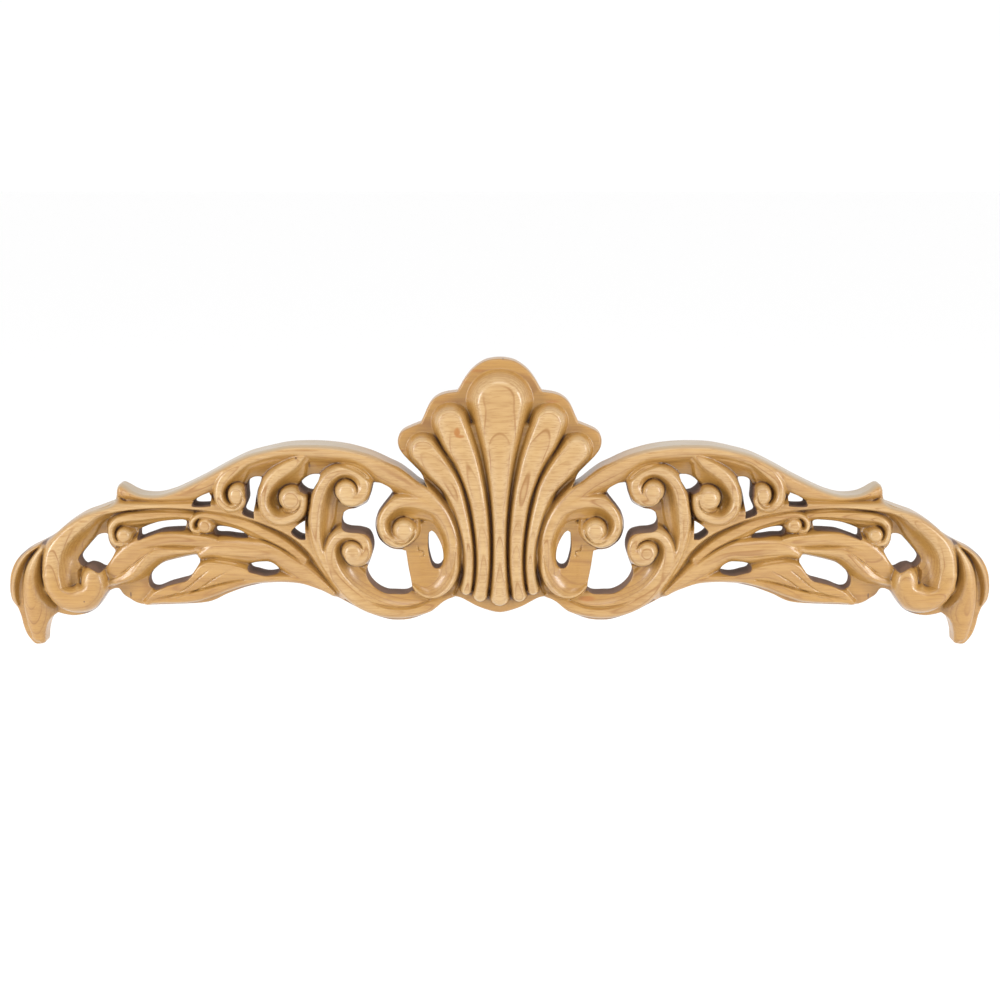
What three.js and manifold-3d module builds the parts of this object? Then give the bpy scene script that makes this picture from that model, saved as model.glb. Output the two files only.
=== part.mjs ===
// Carved wood applique: a scallop shell between two pierced scroll wings, carved from one board.
// Millimetres. X runs along the length, Z is up, and the carving faces -Y.
// The origin is on the flat back, behind the shell, where the applique meets the wall.

import * as THREE from 'three';
import { mergeVertices } from 'three/addons/utils/BufferGeometryUtils.js';
import Module from 'manifold-3d';

const wasm = await Module();
wasm.setup();

// Driving dimensions
const LENGTH = 700;           // tip to tip
const DEPTH = 30;             // from the back to the highest point of the carving
const FLOOR = 42;             // the lowest carved floor, hundredths of the depth
const FULL = 100;             // the highest carved point, hundredths of the depth
const ROOT = 10;              // where each raised form starts inside the board, hundredths of the depth

// The drawing. Positions are in squares of its grid, x to the right and y down, as the carving is seen
// from the front and a little above. Heights are hundredths of the depth.
const AXIS_X = 499.7;         // the shell's middle line
const MID_Y = 500;            // the level of the origin
const DRAWN_LENGTH = 979.6;
const DRAWN_DEPTH = 42;
const EYE_DISTANCE = 1800;
const LOOK_DOWN = THREE.MathUtils.degToRad(11);

const SQUARE = LENGTH / DRAWN_LENGTH;
const ARC_STEPS = 1;          // facets between two points of an outline
const EYE_FACETS = 8;         // facets round the eye of a scroll
const OVERSIZE = 1.1;         // how far the uncut board stands past the outline
const CLOSEST_BEND = 0.92;    // how far a side may reach towards the centre of its line's bend

const sinLook = Math.sin(LOOK_DOWN);
const cosLook = Math.cos(LOOK_DOWN);

// Place on the board, in squares from the origin, of a point that is seen at x, y and stands at a height.
function place(x, y, height) {
  const z = (height * DRAWN_DEPTH) / 100;
  const across = (x - AXIS_X) / EYE_DISTANCE;
  const rise = (MID_Y - y) / EYE_DISTANCE;
  const ray = (EYE_DISTANCE * cosLook - z) / (cosLook + rise * sinLook);
  return new THREE.Vector2(ray * across, EYE_DISTANCE * sinLook + ray * (rise * cosLook - sinLook));
}

const BEAD = 0.36;            // share of a hollowed side that is its bead, before the cove
const CROWN = 0.55;           // share of a rib's side that is its flat crown

// How a side of a raised form falls, from 0 at its crest to 1 at its edge, and where it is faceted.
const SIDES = {
  round: { steps: [0.65, 1], fall: (t) => 1 - Math.sqrt(1 - t ** 2.2) },
  full: { steps: [0.75, 1], fall: (t) => 1 - (1 - t ** 3.2) ** 0.6 },
  soft: { steps: [1], fall: (t) => t * t },
  cove: { steps: [0.5, 1], fall: (t) => 1 - (1 - t) ** 2 },
  rib: { steps: [CROWN, 1], fall: (t) => (t <= CROWN ? 0.33 * t * t : 1) },
  hollow: { steps: [BEAD, 1], fall: (t) => (t <= BEAD ? 1.2 * t * t : 1) },
};

// Rounded end of a form: how far past its last row it stops and how narrow it is there, in shares
// of its width.
const CAP_BEYOND = 0.85;
const CAP_NARROW = 0.5;

// Value of a row of numbers at a share of its length.
function along(values, share) {
  const list = [values].flat();
  const at = share * (list.length - 1);
  const low = Math.min(Math.floor(at), list.length - 1);
  const high = Math.min(low + 1, list.length - 1);
  return THREE.MathUtils.lerp(list[low], list[high], at - low);
}

function toSolid(geometry) {
  const bare = geometry.clone();
  bare.deleteAttribute('normal');
  bare.deleteAttribute('uv');
  const merged = mergeVertices(bare, 1e-4);
  return new wasm.Manifold(new wasm.Mesh({
    numProp: 3,
    vertProperties: Float32Array.from(merged.attributes.position.array),
    triVerts: Uint32Array.from(merged.index.array),
  }));
}

function join(solids) {
  return solids.reduce((whole, next) => whole.add(next));
}

// The same solid with no sealed pocket inside it, since a carver can't cut one.
function filled(solid) {
  return wasm.Manifold.compose(solid.decompose().filter((body) => body.volume() > 0));
}

function signedVolume(corners, faces) {
  const triple = (f) => corners[f[0]].dot(corners[f[1]].clone().cross(corners[f[2]]));
  return faces.reduce((sum, f) => sum + triple(f) / 6, 0);
}

// Closed skin over a row of sections, which are rings with the same number of corners.
function loft(sections) {
  const ring = sections[0].length;
  const last = (sections.length - 1) * ring;
  const corners = sections.flat();
  const faces = [];
  for (let s = 0; s < last; s += ring) {
    for (let i = 0; i < ring; i++) {
      const next = (i + 1) % ring;
      faces.push([s + i, s + next, s + ring + next], [s + i, s + ring + next, s + ring + i]);
    }
  }
  for (let i = 1; i + 1 < ring; i++) {
    faces.push([0, i + 1, i], [last, last + i, last + i + 1]);
  }
  const outward = signedVolume(corners, faces) > 0;
  const geometry = new THREE.BufferGeometry();
  const positions = corners.flatMap((p) => [p.x, p.y, p.z]);
  geometry.setAttribute('position', new THREE.Float32BufferAttribute(positions, 3));
  geometry.setIndex(faces.flatMap(([a, b, c]) => (outward ? [a, b, c] : [a, c, b])));
  return toSolid(geometry);
}

// Most that a side can reach towards the centre of its line's bend before the form folds over itself.
function reach(spots, i, side) {
  const before = spots[Math.max(i - 1, 0)];
  const here = spots[i];
  const after = spots[Math.min(i + 1, spots.length - 1)];
  const a = here.clone().sub(before);
  const b = after.clone().sub(here);
  const turn = a.cross(b) * side;
  if (turn <= 0) {
    return Infinity;
  }
  const radius = (a.length() * b.length() * after.distanceTo(before)) / (2 * turn);
  return CLOSEST_BEND * radius;
}

// One raised form: a line of crests with a width and a fall on each side. left and right are the heights
// of its edges along the line, and seenAt is the height at which its rows are drawn, if not at the crests.
// Each row is x, y, width to the left of the line's direction, width to its right, height of the crest.
function raised(rows, { left = 50, right = 50, sides = ['round', 'round'], seenAt }, mirrored) {
  const spots = rows.map(([x, y, , , crest]) => place(x, y, seenAt ?? crest));
  const flip = mirrored ? -1 : 1;
  const sections = [];
  const addSection = (i, beyond, narrow) => {
    const share = i / (rows.length - 1);
    const [, , wideLeft, wideRight, crest] = rows[i];
    const before = spots[Math.max(i - 1, 0)];
    const after = spots[Math.min(i + 1, rows.length - 1)];
    const heading = after.clone().sub(before).normalize();
    const across = new THREE.Vector2(-heading.y, heading.x);
    const centre = spots[i].clone().addScaledVector(heading, beyond);
    const widths = [Math.min(wideLeft, reach(spots, i, 1)), Math.min(wideRight, reach(spots, i, -1))];
    const edges = [along(left, share), along(right, share)];
    const point = (k, t) => {
      const spot = centre.clone().addScaledVector(across, (k === 0 ? 1 : -1) * widths[k] * t * narrow);
      const outer = Math.hypot(t * narrow, Math.abs(beyond) / Math.max(...widths));
      const height = crest + (edges[k] - crest) * SIDES[sides[k]].fall(Math.min(outer, 1));
      return new THREE.Vector3(flip * spot.x * SQUARE, (-height * DEPTH) / 100, spot.y * SQUARE);
    };
    const leftSide = SIDES[sides[0]].steps.map((t) => point(0, t)).reverse();
    const rightSide = SIDES[sides[1]].steps.map((t) => point(1, t));
    const below = (p) => new THREE.Vector3(p.x, (-ROOT * DEPTH) / 100, p.z);
    sections.push([...leftSide, point(0, 0), ...rightSide, below(rightSide.at(-1)), below(leftSide[0])]);
  };
  const end = rows.length - 1;
  const capLength = (row) => CAP_BEYOND * Math.max(row[2], row[3]);
  addSection(0, -capLength(rows[0]), CAP_NARROW);
  rows.forEach((row, i) => addSection(i, 0, 1));
  addSection(end, capLength(rows[end]), CAP_NARROW);
  return loft(sections);
}

// The rounded eye of a scroll: its centre, half width, half height, and the heights of its edge and crown.
function eye([x, y, wide, high, edge, crown], mirrored) {
  const risen = (share) => edge + share * (crown - edge);
  const profile = [[0, ROOT], [1, ROOT], [1, edge], [0.8, risen(0.68)], [0.45, risen(0.92)], [0, crown]];
  const scaled = profile.map(([radius, height]) => new THREE.Vector2(radius, (height * DEPTH) / 100));
  const spot = place(x, y, crown);
  const geometry = new THREE.LatheGeometry(scaled, EYE_FACETS);
  geometry.scale(wide * SQUARE, 1, high * SQUARE);
  geometry.rotateX(Math.PI);
  geometry.translate((mirrored ? -1 : 1) * spot.x * SQUARE, 0, spot.y * SQUARE);
  return toSolid(geometry);
}

// Smooth closed outline in millimetres. Each row is x, y, height of the edge seen and, at a corner, SHARP.
function outlineOf(rows, mirrored) {
  const spots = rows.map(([x, y, height]) => {
    const spot = place(x, y, height).multiplyScalar(SQUARE);
    return new THREE.Vector3(mirrored ? -spot.x : spot.x, spot.y, 0);
  });
  const corners = rows.flatMap((row, i) => (row[3] ? [i] : []));
  if (corners.length === 0) {
    return new THREE.CatmullRomCurve3(spots, true).getPoints(spots.length * ARC_STEPS).slice(1);
  }
  return corners.flatMap((first, k) => {
    const last = k + 1 < corners.length ? corners[k + 1] : corners[0] + spots.length;
    const stretch = [];
    for (let i = first; i <= last; i++) {
      stretch.push(spots[i % spots.length]);
    }
    return new THREE.CatmullRomCurve3(stretch, false).getPoints((last - first) * ARC_STEPS).slice(1);
  });
}

// A flat form with straight walls, between two heights.
function slab(points, from, to, holes = []) {
  const shape = new THREE.Shape(points.map((p) => new THREE.Vector2(p.x, p.y)));
  shape.holes = holes.map((hole) => new THREE.Path(hole.map((p) => new THREE.Vector2(p.x, p.y))));
  const thick = ((to - from) * DEPTH) / 100;
  const geometry = new THREE.ExtrudeGeometry(shape, { depth: thick, bevelEnabled: false });
  geometry.rotateX(Math.PI / 2);
  geometry.translate(0, (-from * DEPTH) / 100, 0);
  return toSolid(geometry);
}

function plate(rows, mirrored) {
  return slab(outlineOf(rows, mirrored), ROOT, rows[0][2]);
}

// Outline of the left half, from the top of the shell round to its foot, and the pierced holes.
// Each row is x, y, height of the edge that is seen there.
const SHARP = true;

const OUTLINE_TOP = [
  [499.7, 356.5, 0], [485, 359, 0], [472, 368, 0], [463, 380, 0], [457.5, 389.3, 0, SHARP],
  [446, 391, 0], [434, 397, 0], [427, 408, 0], [421.5, 420.3, 0, SHARP],
  [410, 425, 0], [400, 433, 25], [397.5, 443, 50], [405, 457, 50], [415, 467.5, 50],
  [427.5, 485.6, 45, SHARP], [410, 471, 0], [390, 459, 0], [370, 449, 0], [345, 442.6, 0], [310, 440, 0],
  [280, 442.7, 0],
  [250, 450.5, 0], [210, 471, 0], [175, 487.5, 0], [153, 491, 0], [137, 487, 0], [125, 481, 0],
  [118, 488, 30], [116, 500.5, 30, SHARP],
];
const OUTLINE_END = [
  [90, 508.5, 0], [70, 521, 0], [50, 536.5, 0], [33, 545, 0], [20, 557, 15], [12, 573, 30],
  [11, 593, 35], [18, 608, 40, SHARP],
  [23, 626, 45], [31, 639.5, 40], [41, 643.3, 35], [48, 638, 20], [50, 621, 30], [58, 612.5, 40, SHARP],
  [73, 616, 45], [90, 612.5, 45], [102, 602, 30], [111, 588.5, 30, SHARP],
];
const OUTLINE_FOOT = [
  [122, 592, 35], [137, 602, 35], [155, 604.5, 40], [180, 604, 40], [203, 602.5, 40], [225, 595, 42],
  [250, 586.2, 42], [285, 582, 42], [315, 587, 45], [340, 599, 45], [370, 614, 45], [395, 620.4, 45],
  [420, 616.5, 45], [440, 603, 40], [455, 596.5, 40], [468, 601, 40], [484, 609, 40], [499.7, 612.3, 40],
];

const HOLES = [
  // between the end scroll and the first leaf
  [[84, 558, 0], [83, 553, 0], [90, 543.5, 25], [98, 535, 40], [107, 534, 45], [109, 544, 50],
    [116, 551, 50, SHARP], [110, 563, 0, SHARP], [99, 561.5, 0], [88, 562, 0]],
  // two slots above the first leaf
  [[139, 529, 40, SHARP], [160, 520.8, 45], [186, 519.5, 45], [188.5, 525.5, 0, SHARP], [165, 527, 0],
    [150, 532, 0], [143, 534, 0]],
  [[216, 526.5, 30], [225, 526, 45], [243, 530, 40], [251, 534, 10, SHARP], [230, 531, 0]],
  // below the arched band
  [[195.5, 498, 30, SHARP], [203, 494, 45], [210.5, 491, 45, SHARP], [213.5, 502.8, 30, SHARP],
    [203, 501, 0]],
  // between the two leaves
  [[152.5, 578, 0], [153, 571, 20], [163, 563, 50], [182, 557.5, 50], [198, 554.5, 50, SHARP],
    [201, 561, 40, SHARP], [192, 574, 0], [172, 580, 0], [160, 584.5, 0], [154.5, 583.5, 0]],
  [[250, 562.8, 20], [256, 561, 45], [264, 560.5, 45], [272, 561.5, 45], [281, 568, 10], [270, 569.6, 0],
    [258, 567, 0]],
  // between the scrolls under the band
  [[249, 480.5, 20], [254, 476.6, 45], [262, 476.5, 45, SHARP], [258, 489, 45], [255.5, 504, 40],
    [257.5, 513.5, 10, SHARP], [246.5, 507.5, 0], [250.5, 495, 0]],
  [[301.5, 482, 10], [310, 474.6, 45], [321, 473.5, 45, SHARP], [316, 485, 45], [312.5, 490.5, 20, SHARP],
    [308, 487.5, 0]],
  [[294, 527, 10], [299, 523, 45], [305, 520.5, 45, SHARP], [306, 527, 45], [308, 535, 20, SHARP],
    [302, 532.5, 0]],
  // the large hole before the inner scroll
  [[373.5, 481, 30, SHARP], [383, 483, 50], [391, 488, 50], [391, 495, 35], [383, 505.5, 40],
    [375.5, 525, 40], [380, 540, 45], [392, 549.3, 50], [406, 550.5, 50, SHARP], [408.5, 565, 40],
    [413.5, 587, 20, SHARP], [396, 588.5, 0], [380, 584.5, 0], [367.5, 566, 0, SHARP], [374.5, 546, 0],
    [370, 529, 0], [350, 524.7, 0], [343, 518, 0], [343.8, 511.5, 30, SHARP], [357, 508, 45],
    [368, 500, 20], [373, 486, 0]],
  // the oval hole in the inner scroll
  [[428.5, 536, 30], [431.5, 530.7, 50], [438, 537.5, 50], [443.5, 554, 40], [440, 563, 0], [433, 560.5, 0],
    [429, 545, 0]],
];

// The shell: five ribs on a scalloped ledge.
const LEDGE = [
  [499.7, 356, 48, SHARP], [472, 367, 48], [457.5, 389, 48, SHARP], [434, 396, 48], [421.5, 420, 48, SHARP],
  [399, 433, 48], [404, 455, 48], [432, 485, 48], [458, 525, 48], [464, 565, 48], [455, 596, 48, SHARP],
  [477, 608, 48], [499.7, 614, 48, SHARP],
];
const MIDDLE_RIB = [
  [499.7, 402, 32.5, 32.5, 97], [499.7, 430, 24.5, 24.5, 97], [499.7, 458, 17.5, 17.5, 97],
  [499.7, 485, 12.4, 12.4, 96], [499.7, 520, 8.7, 8.7, 94], [499.7, 552, 8, 8, 93],
  [499.7, 595, 11, 11, 91],
];
const SECOND_RIB = [
  [450.5, 421.5, 18.5, 18.5, 93], [460.5, 445, 17, 17, 93], [470.5, 470, 13.7, 13.7, 92],
  [478, 498, 10.8, 10.8, 92], [482.3, 530, 9.4, 9.4, 91], [483.3, 565, 8.4, 8.4, 89],
  [480.3, 593, 8.5, 8.5, 87],
];
const THIRD_RIB = [
  [423.5, 449, 16.5, 16.5, 90], [437, 465, 15.2, 15.2, 90], [452, 485, 11.5, 11.5, 90],
  [461.5, 509, 8.3, 8.3, 89], [467.5, 538, 6.3, 6.3, 87], [469.3, 565, 5.8, 5.8, 86],
  [466.5, 588, 6.5, 6.5, 84],
];

function shell() {
  const shape = { left: 48, right: 48, sides: ['rib', 'rib'], seenAt: 52 };
  const forms = [raised(MIDDLE_RIB, shape, false)];
  for (const mirrored of [false, true]) {
    forms.push(plate(LEDGE, mirrored));
    forms.push(raised(SECOND_RIB, shape, mirrored));
    forms.push(raised(THIRD_RIB, shape, mirrored));
  }
  return forms;
}

// The arched band, from its ear at the tip round the ring beside the shell.
const BAND = [
  [121, 492, 7, 9, 56], [150, 498, 5.5, 6.5, 68], [175, 496, 7, 8, 72], [210, 480.5, 8, 12, 78],
  [232, 468.5, 8, 8, 81], [265, 454.5, 8, 8, 84], [305, 449.5, 8, 12, 86], [345, 452.5, 8, 13, 86],
  [380, 464, 9, 19, 84], [405, 478.5, 10, 19, 81], [429, 499.5, 10, 14, 79], [445, 521, 10, 11, 79],
  [452.5, 546, 10, 9, 78], [451.5, 570, 10, 10, 74], [444, 587, 9, 12, 70],
];

function archedBand(mirrored) {
  const top = [42, 45, 45, 45, 45, 50, 50];
  const below = [45, 58, 62, 62, 58, 50, 55, 55, 50];
  return [raised(BAND, { left: top, right: below, sides: ['round', 'soft'] }, mirrored)];
}

// The stem, which runs into the end scroll and its ball.
const STEM = [
  [343, 597, 2, 2, 62], [323, 570, 7, 7, 72], [300, 541.5, 7, 8, 75.5], [266, 523.5, 6, 7.5, 76],
  [230, 513, 6, 6, 76], [190, 508, 5, 4.5, 76], [149, 507.5, 4.5, 4, 77], [116, 510, 7, 6, 79],
  [92, 517.5, 14, 7.5, 82], [69, 531, 20, 9, 86], [56, 543.5, 21, 10, 88], [48.5, 558, 20, 9.5, 89.5],
  [48, 577, 15, 9, 91], [52, 588, 13, 10, 92],
];
const BALL = [
  [48, 577, 9, 9, 91], [52, 588, 8.5, 11, 92], [60, 597, 10, 13.5, 94], [71, 601, 12.2, 16, 96],
  [82, 599, 14, 17, 98], [89.5, 591.5, 13.7, 16, 99], [91.5, 580, 11.7, 12, 99],
];
const TAIL_LEAF = [
  [41, 550, 3, 3, 80], [33, 565, 6.5, 6, 82], [29.5, 582, 10, 8.5, 81],
  [30, 597, 15, 10, 78], [32, 612, 21, 10, 73], [34.5, 626, 17, 9, 66], [38, 636, 11, 8, 56],
];
const OUTER_TAIL_LEAF = [
  [38, 546, 4, 3, 66], [28, 553, 4, 3, 62], [20.5, 562, 5.5, 3, 60], [15.5, 573, 6, 3, 58],
  [13.5, 585, 5, 3, 56], [14.5, 597, 4, 3, 52], [17.5, 605, 2, 2, 48],
];

function endScroll(mirrored) {
  const cove = [55, 50, 50, 50, 50, 50, 50, 46, 40, 36, 38, 60];
  const outside = [50, 50, 50, 50, 50, 50, 42, 42, 42, 60];
  const ballInner = [66, 66, 62, 60, 60, 56];
  const ballOuter = [50, 45, 45, 45, 45, 50];
  const leafInner = [64, 58, 52, 48, 46, 42];
  const leafOuter = [50, 50, 50, 45, 40, 38];
  const outerLeafInner = [34, 34, 34, 34, 38];
  return [
    raised(STEM, { left: cove, right: outside, sides: ['hollow', 'round'] }, mirrored),
    raised(BALL, { left: ballInner, right: ballOuter, sides: ['full', 'full'] }, mirrored),
    raised(TAIL_LEAF, { left: leafInner, right: leafOuter, sides: ['soft', 'round'] }, mirrored),
    raised(OUTER_TAIL_LEAF, { left: outerLeafInner, right: 35, sides: ['soft', 'round'] }, mirrored),
  ];
}

// Two small volutes that curl under the stem, each at the end of a strand.
const FAR_VOLUTE = [
  [190, 517.3, 3, 4, 66], [158, 516.3, 6, 5.5, 71], [126, 519, 8, 5, 75], [116, 521.5, 8, 4, 77],
  [110.5, 528, 7, 4, 78], [110.5, 536.5, 6, 4, 79], [114.5, 543.3, 5, 4.5, 79], [121, 545, 5, 4, 77],
];
const FAR_EYE = [122.8, 536.5, 8.2, 8.2, 56, 80];
const NEAR_VOLUTE = [
  [303, 560.5, 4, 3, 67], [275, 541, 7, 5, 70], [245, 526.5, 6.5, 5.5, 71], [215, 518, 6, 4, 73],
  [203, 516, 6, 3.5, 74], [195, 518.5, 5, 3.5, 74], [191, 524, 5, 3.5, 74], [192.3, 530, 4, 3.5, 73],
  [198, 532.5, 4, 3, 71],
];
const NEAR_EYE = [204.5, 526.5, 8.3, 8.3, 56, 77];

function smallVolutes(mirrored) {
  const farCove = [60, 60, 58, 52, 50, 58, 70];
  const farEdge = [64, 64, 60, 45, 45];
  const nearCove = [62, 62, 60, 60, 56, 52, 52, 56, 66];
  const nearEdge = [69, 69, 68, 60, 48, 45];
  return [
    raised(FAR_VOLUTE, { left: farCove, right: farEdge, sides: ['hollow', 'round'] }, mirrored),
    eye(FAR_EYE, mirrored),
    raised(NEAR_VOLUTE, { left: nearCove, right: nearEdge, sides: ['hollow', 'round'] }, mirrored),
    eye(NEAR_EYE, mirrored),
  ];
}

// Two scrolls that hang from the band, and two that grow from the foot of the wing.
const FIRST_SCROLL = [
  [250, 461.5, 4, 3, 81], [236, 467.5, 9, 4, 84], [226, 474.5, 13, 6, 85], [219.5, 484, 13, 7, 86],
  [217.8, 494, 12, 6.5, 87], [220.5, 503, 11, 7, 88], [228, 509.3, 10, 5.5, 88], [238, 509, 8, 5, 87],
];
const FIRST_EYE = [235.6, 496.5, 9.6, 11.5, 56, 93];
const SECOND_SCROLL = [
  [301, 457, 4, 3, 83], [293, 461.5, 11, 4, 86], [282, 468, 16, 5, 87], [271.5, 477.5, 16, 6.5, 88],
  [264.8, 489, 14, 7.5, 89], [262.5, 501, 12, 7, 90], [266, 512.5, 11, 8, 90], [275, 520.3, 10, 8, 90],
  [287, 520.5, 10, 7.5, 90], [297, 514, 10, 7.5, 90], [301.3, 503, 9, 6, 90], [300, 493, 8, 5, 88],
];
const SECOND_EYE = [290, 500.5, 12.8, 12.8, 56, 96];
const THIRD_SCROLL = [
  [330, 572, 7, 7, 82], [316, 541, 7, 12, 85], [313, 516, 6.4, 19.5, 87.5], [318, 491, 6.5, 19, 89],
  [325.5, 479.5, 7, 16, 90], [336, 472.8, 7.5, 13, 90], [347, 471.5, 7.5, 10, 90], [358, 475.3, 8, 10, 90],
  [364.3, 484, 8, 10, 90], [363.5, 494, 7.5, 10, 90], [357, 502, 7, 9, 90], [349, 504.5, 5, 8, 88],
];
const THIRD_EYE = [346, 493, 12.3, 12.3, 56, 97];
const FOURTH_SCROLL = [
  [450, 595.5, 5, 5, 58], [430, 607, 7, 13, 65], [400, 613.5, 7.5, 22, 71], [370, 607.5, 8.3, 25, 75.5],
  [345, 590.5, 8.5, 24, 80], [332, 571, 9, 22, 84], [328.6, 552, 7, 17, 86], [335.5, 538.5, 6, 13, 89],
  [345.5, 534.5, 6.5, 11, 90], [356.5, 536.5, 7, 10, 90], [364.8, 543.5, 7.5, 9.5, 90],
  [366, 554, 7, 9, 90], [360.5, 563, 6, 9, 89],
];
const FOURTH_EYE = [352.3, 553.5, 11.9, 11.9, 56, 97];

function scrolls(mirrored) {
  const firstCove = [70, 54, 46, 46, 50, 70, 85];
  const secondCove = [70, 56, 46, 44, 44, 48, 66, 84, 88, 88, 85];
  const thirdCove = [75, 55, 42, 42, 48, 62, 76, 86, 86, 85];
  const fourthCove = [52, 50, 47, 44, 42, 42, 46, 60, 74, 84, 88, 86];
  return [
    raised(FIRST_SCROLL, { left: firstCove, sides: ['hollow', 'round'] }, mirrored),
    eye(FIRST_EYE, mirrored),
    raised(SECOND_SCROLL, { left: secondCove, sides: ['hollow', 'round'] }, mirrored),
    eye(SECOND_EYE, mirrored),
    raised(THIRD_SCROLL, { right: thirdCove, sides: ['round', 'hollow'] }, mirrored),
    eye(THIRD_EYE, mirrored),
    raised(FOURTH_SCROLL, { right: fourthCove, sides: ['round', 'hollow'] }, mirrored),
    eye(FOURTH_EYE, mirrored),
  ];
}

// The inner scroll beside the shell, with its dished web and the bead under it.
const INNER_SCROLL = [
  [436, 511, 6, 8, 78], [422, 502.5, 10, 6, 80], [408, 500, 13, 5.5, 82], [395.5, 502.8, 14, 6.5, 84],
  [386.5, 510.8, 13, 6.5, 85], [381.5, 521, 12, 6, 86], [382.3, 532, 11, 6, 87], [389, 541.3, 10, 6.5, 87],
  [399, 545.3, 9, 5.5, 86], [408, 543, 8, 5, 84],
];
const INNER_EYE = [403.8, 532.5, 12, 12, 56, 92];
const WEB = [
  [408, 546, 56], [428, 550, 56], [431, 562, 56], [438, 568, 56], [446, 562, 56], [456, 570, 56],
  [455, 588, 56], [445, 597, 56], [432, 600, 56], [413, 588, 56], [409, 568, 56],
];
const WEB_BEAD = [
  [413, 588, 3, 2, 64], [419, 593.5, 3, 2.5, 66], [426, 597.5, 4, 2.5, 68], [434, 599, 5, 2.5, 69],
  [442, 596.5, 6, 3, 70], [449, 591, 7, 3, 71], [454, 582, 7, 3, 73],
];

function innerScroll(mirrored) {
  const cove = [60, 52, 46, 44, 46, 66, 82, 84];
  return [
    raised(INNER_SCROLL, { left: cove, right: 48, sides: ['hollow', 'round'] }, mirrored),
    eye(INNER_EYE, mirrored),
    plate(WEB, mirrored),
    raised(WEB_BEAD, { left: 56, right: 50, sides: ['cove', 'round'] }, mirrored),
  ];
}

// The leaves between the stem and the foot of the wing.
const FIRST_LEAF = [
  [108, 578, 5, 6, 60], [122, 555.5, 8, 12, 70], [134, 547, 8, 13, 72], [152, 541, 8, 7.5, 73],
  [185, 539.2, 6.5, 8, 73], [205, 541, 6, 7, 72], [215, 541, 3, 3, 70],
];
const FIRST_LEAF_FOLD = [
  [104, 585.5, 2.5, 2.5, 66], [120, 580.5, 3.5, 6, 72], [134, 571, 5, 12, 75], [141, 562, 5, 15, 76],
  [150, 554.5, 4.2, 15.5, 76], [172, 551, 3, 11, 74], [187, 551, 3, 7.5, 73], [199, 551.5, 3, 4, 70],
];
const SECOND_LEAF = [
  [201, 555, 4, 4, 70], [212, 550.5, 8, 8, 74], [240, 550.5, 9.5, 12, 76], [268, 553.3, 9, 9.5, 76],
  [287, 560, 7, 12, 75], [303, 569, 5, 14, 74], [320, 582, 4, 9, 72], [333, 593, 3, 5, 68],
];
const THIRD_LEAF = [
  [147, 601, 2, 4, 56], [160, 591, 3, 8, 64], [181, 584.5, 3, 11, 68], [193, 577, 3.5, 16, 70],
  [203, 567.5, 4, 18, 72], [232, 567, 4, 15, 73], [250, 574, 4, 9, 72], [270, 578.7, 3, 4, 70],
  [305, 581, 3, 3, 66],
];
const THIRD_LEAF_FOLD = [
  [146, 603, 2, 2, 54], [180, 600.5, 4, 4, 60], [200, 597.3, 4, 5, 62], [226, 587, 4, 6, 65],
  [250, 582, 3.3, 4, 65], [285, 580.6, 3, 3, 63], [320, 588.5, 3, 3, 63],
];

function leaves(mirrored) {
  const thirdUpper = [44, 50, 55, 50];
  const thirdLower = [50, 48, 50, 54];
  return [
    raised(FIRST_LEAF, { left: [50, 52, 54], right: [50, 58, 60], sides: ['round', 'soft'] }, mirrored),
    raised(FIRST_LEAF_FOLD, { left: [60, 62, 56], right: [50, 45, 48], sides: ['cove', 'soft'] }, mirrored),
    raised(SECOND_LEAF, { left: [58, 60, 56], right: [56, 58, 50], sides: ['soft', 'soft'] }, mirrored),
    raised(THIRD_LEAF, { left: thirdUpper, right: thirdLower, sides: ['round', 'soft'] }, mirrored),
    raised(THIRD_LEAF_FOLD, { left: 50, right: 42, sides: ['soft', 'round'] }, mirrored),
  ];
}

// The board: every raised form stands on the floor, and the outline and the holes are cut straight through.
function board() {
  const half = [...OUTLINE_TOP, ...OUTLINE_END, ...OUTLINE_FOOT];
  const mirrorRow = ([x, ...rest]) => [2 * AXIS_X - x, ...rest];
  const whole = [...half, ...half.slice(1, -1).reverse().map(mirrorRow)];
  const holes = HOLES.flatMap((rows) => [outlineOf(rows, false), outlineOf(rows, true)]);
  return slab(outlineOf(whole, false), 0, 2 * FULL, holes);
}

function floor() {
  const plank = new THREE.BoxGeometry(LENGTH * OVERSIZE, (FLOOR * DEPTH) / 100, LENGTH * OVERSIZE);
  plank.translate(0, (-FLOOR * DEPTH) / 200, 0);
  return toSolid(plank);
}

function wing(mirrored) {
  const parts = [archedBand, endScroll, smallVolutes, scrolls, innerScroll, leaves];
  return parts.flatMap((part) => part(mirrored));
}

function toMesh(solid, name, material) {
  const { vertProperties, triVerts, numProp } = solid.getMesh();
  const geometry = new THREE.BufferGeometry();
  const positions = [];
  for (let i = 0; i < vertProperties.length; i += numProp) {
    positions.push(vertProperties[i], vertProperties[i + 1], vertProperties[i + 2]);
  }
  geometry.setAttribute('position', new THREE.Float32BufferAttribute(positions, 3));
  geometry.setIndex(Array.from(triVerts));
  geometry.computeVertexNormals();
  const mesh = new THREE.Mesh(geometry, material);
  mesh.name = name;
  return mesh;
}

const maple = new THREE.MeshStandardMaterial({ color: 0xcda06a, roughness: 0.42, metalness: 0 });
const forms = join([floor(), ...shell(), ...wing(false), ...wing(true)]);
const carving = filled(forms.intersect(board()));

const applique = new THREE.Group();
applique.add(toMesh(carving, 'carved_applique', maple));

export default applique;
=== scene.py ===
import math

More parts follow.
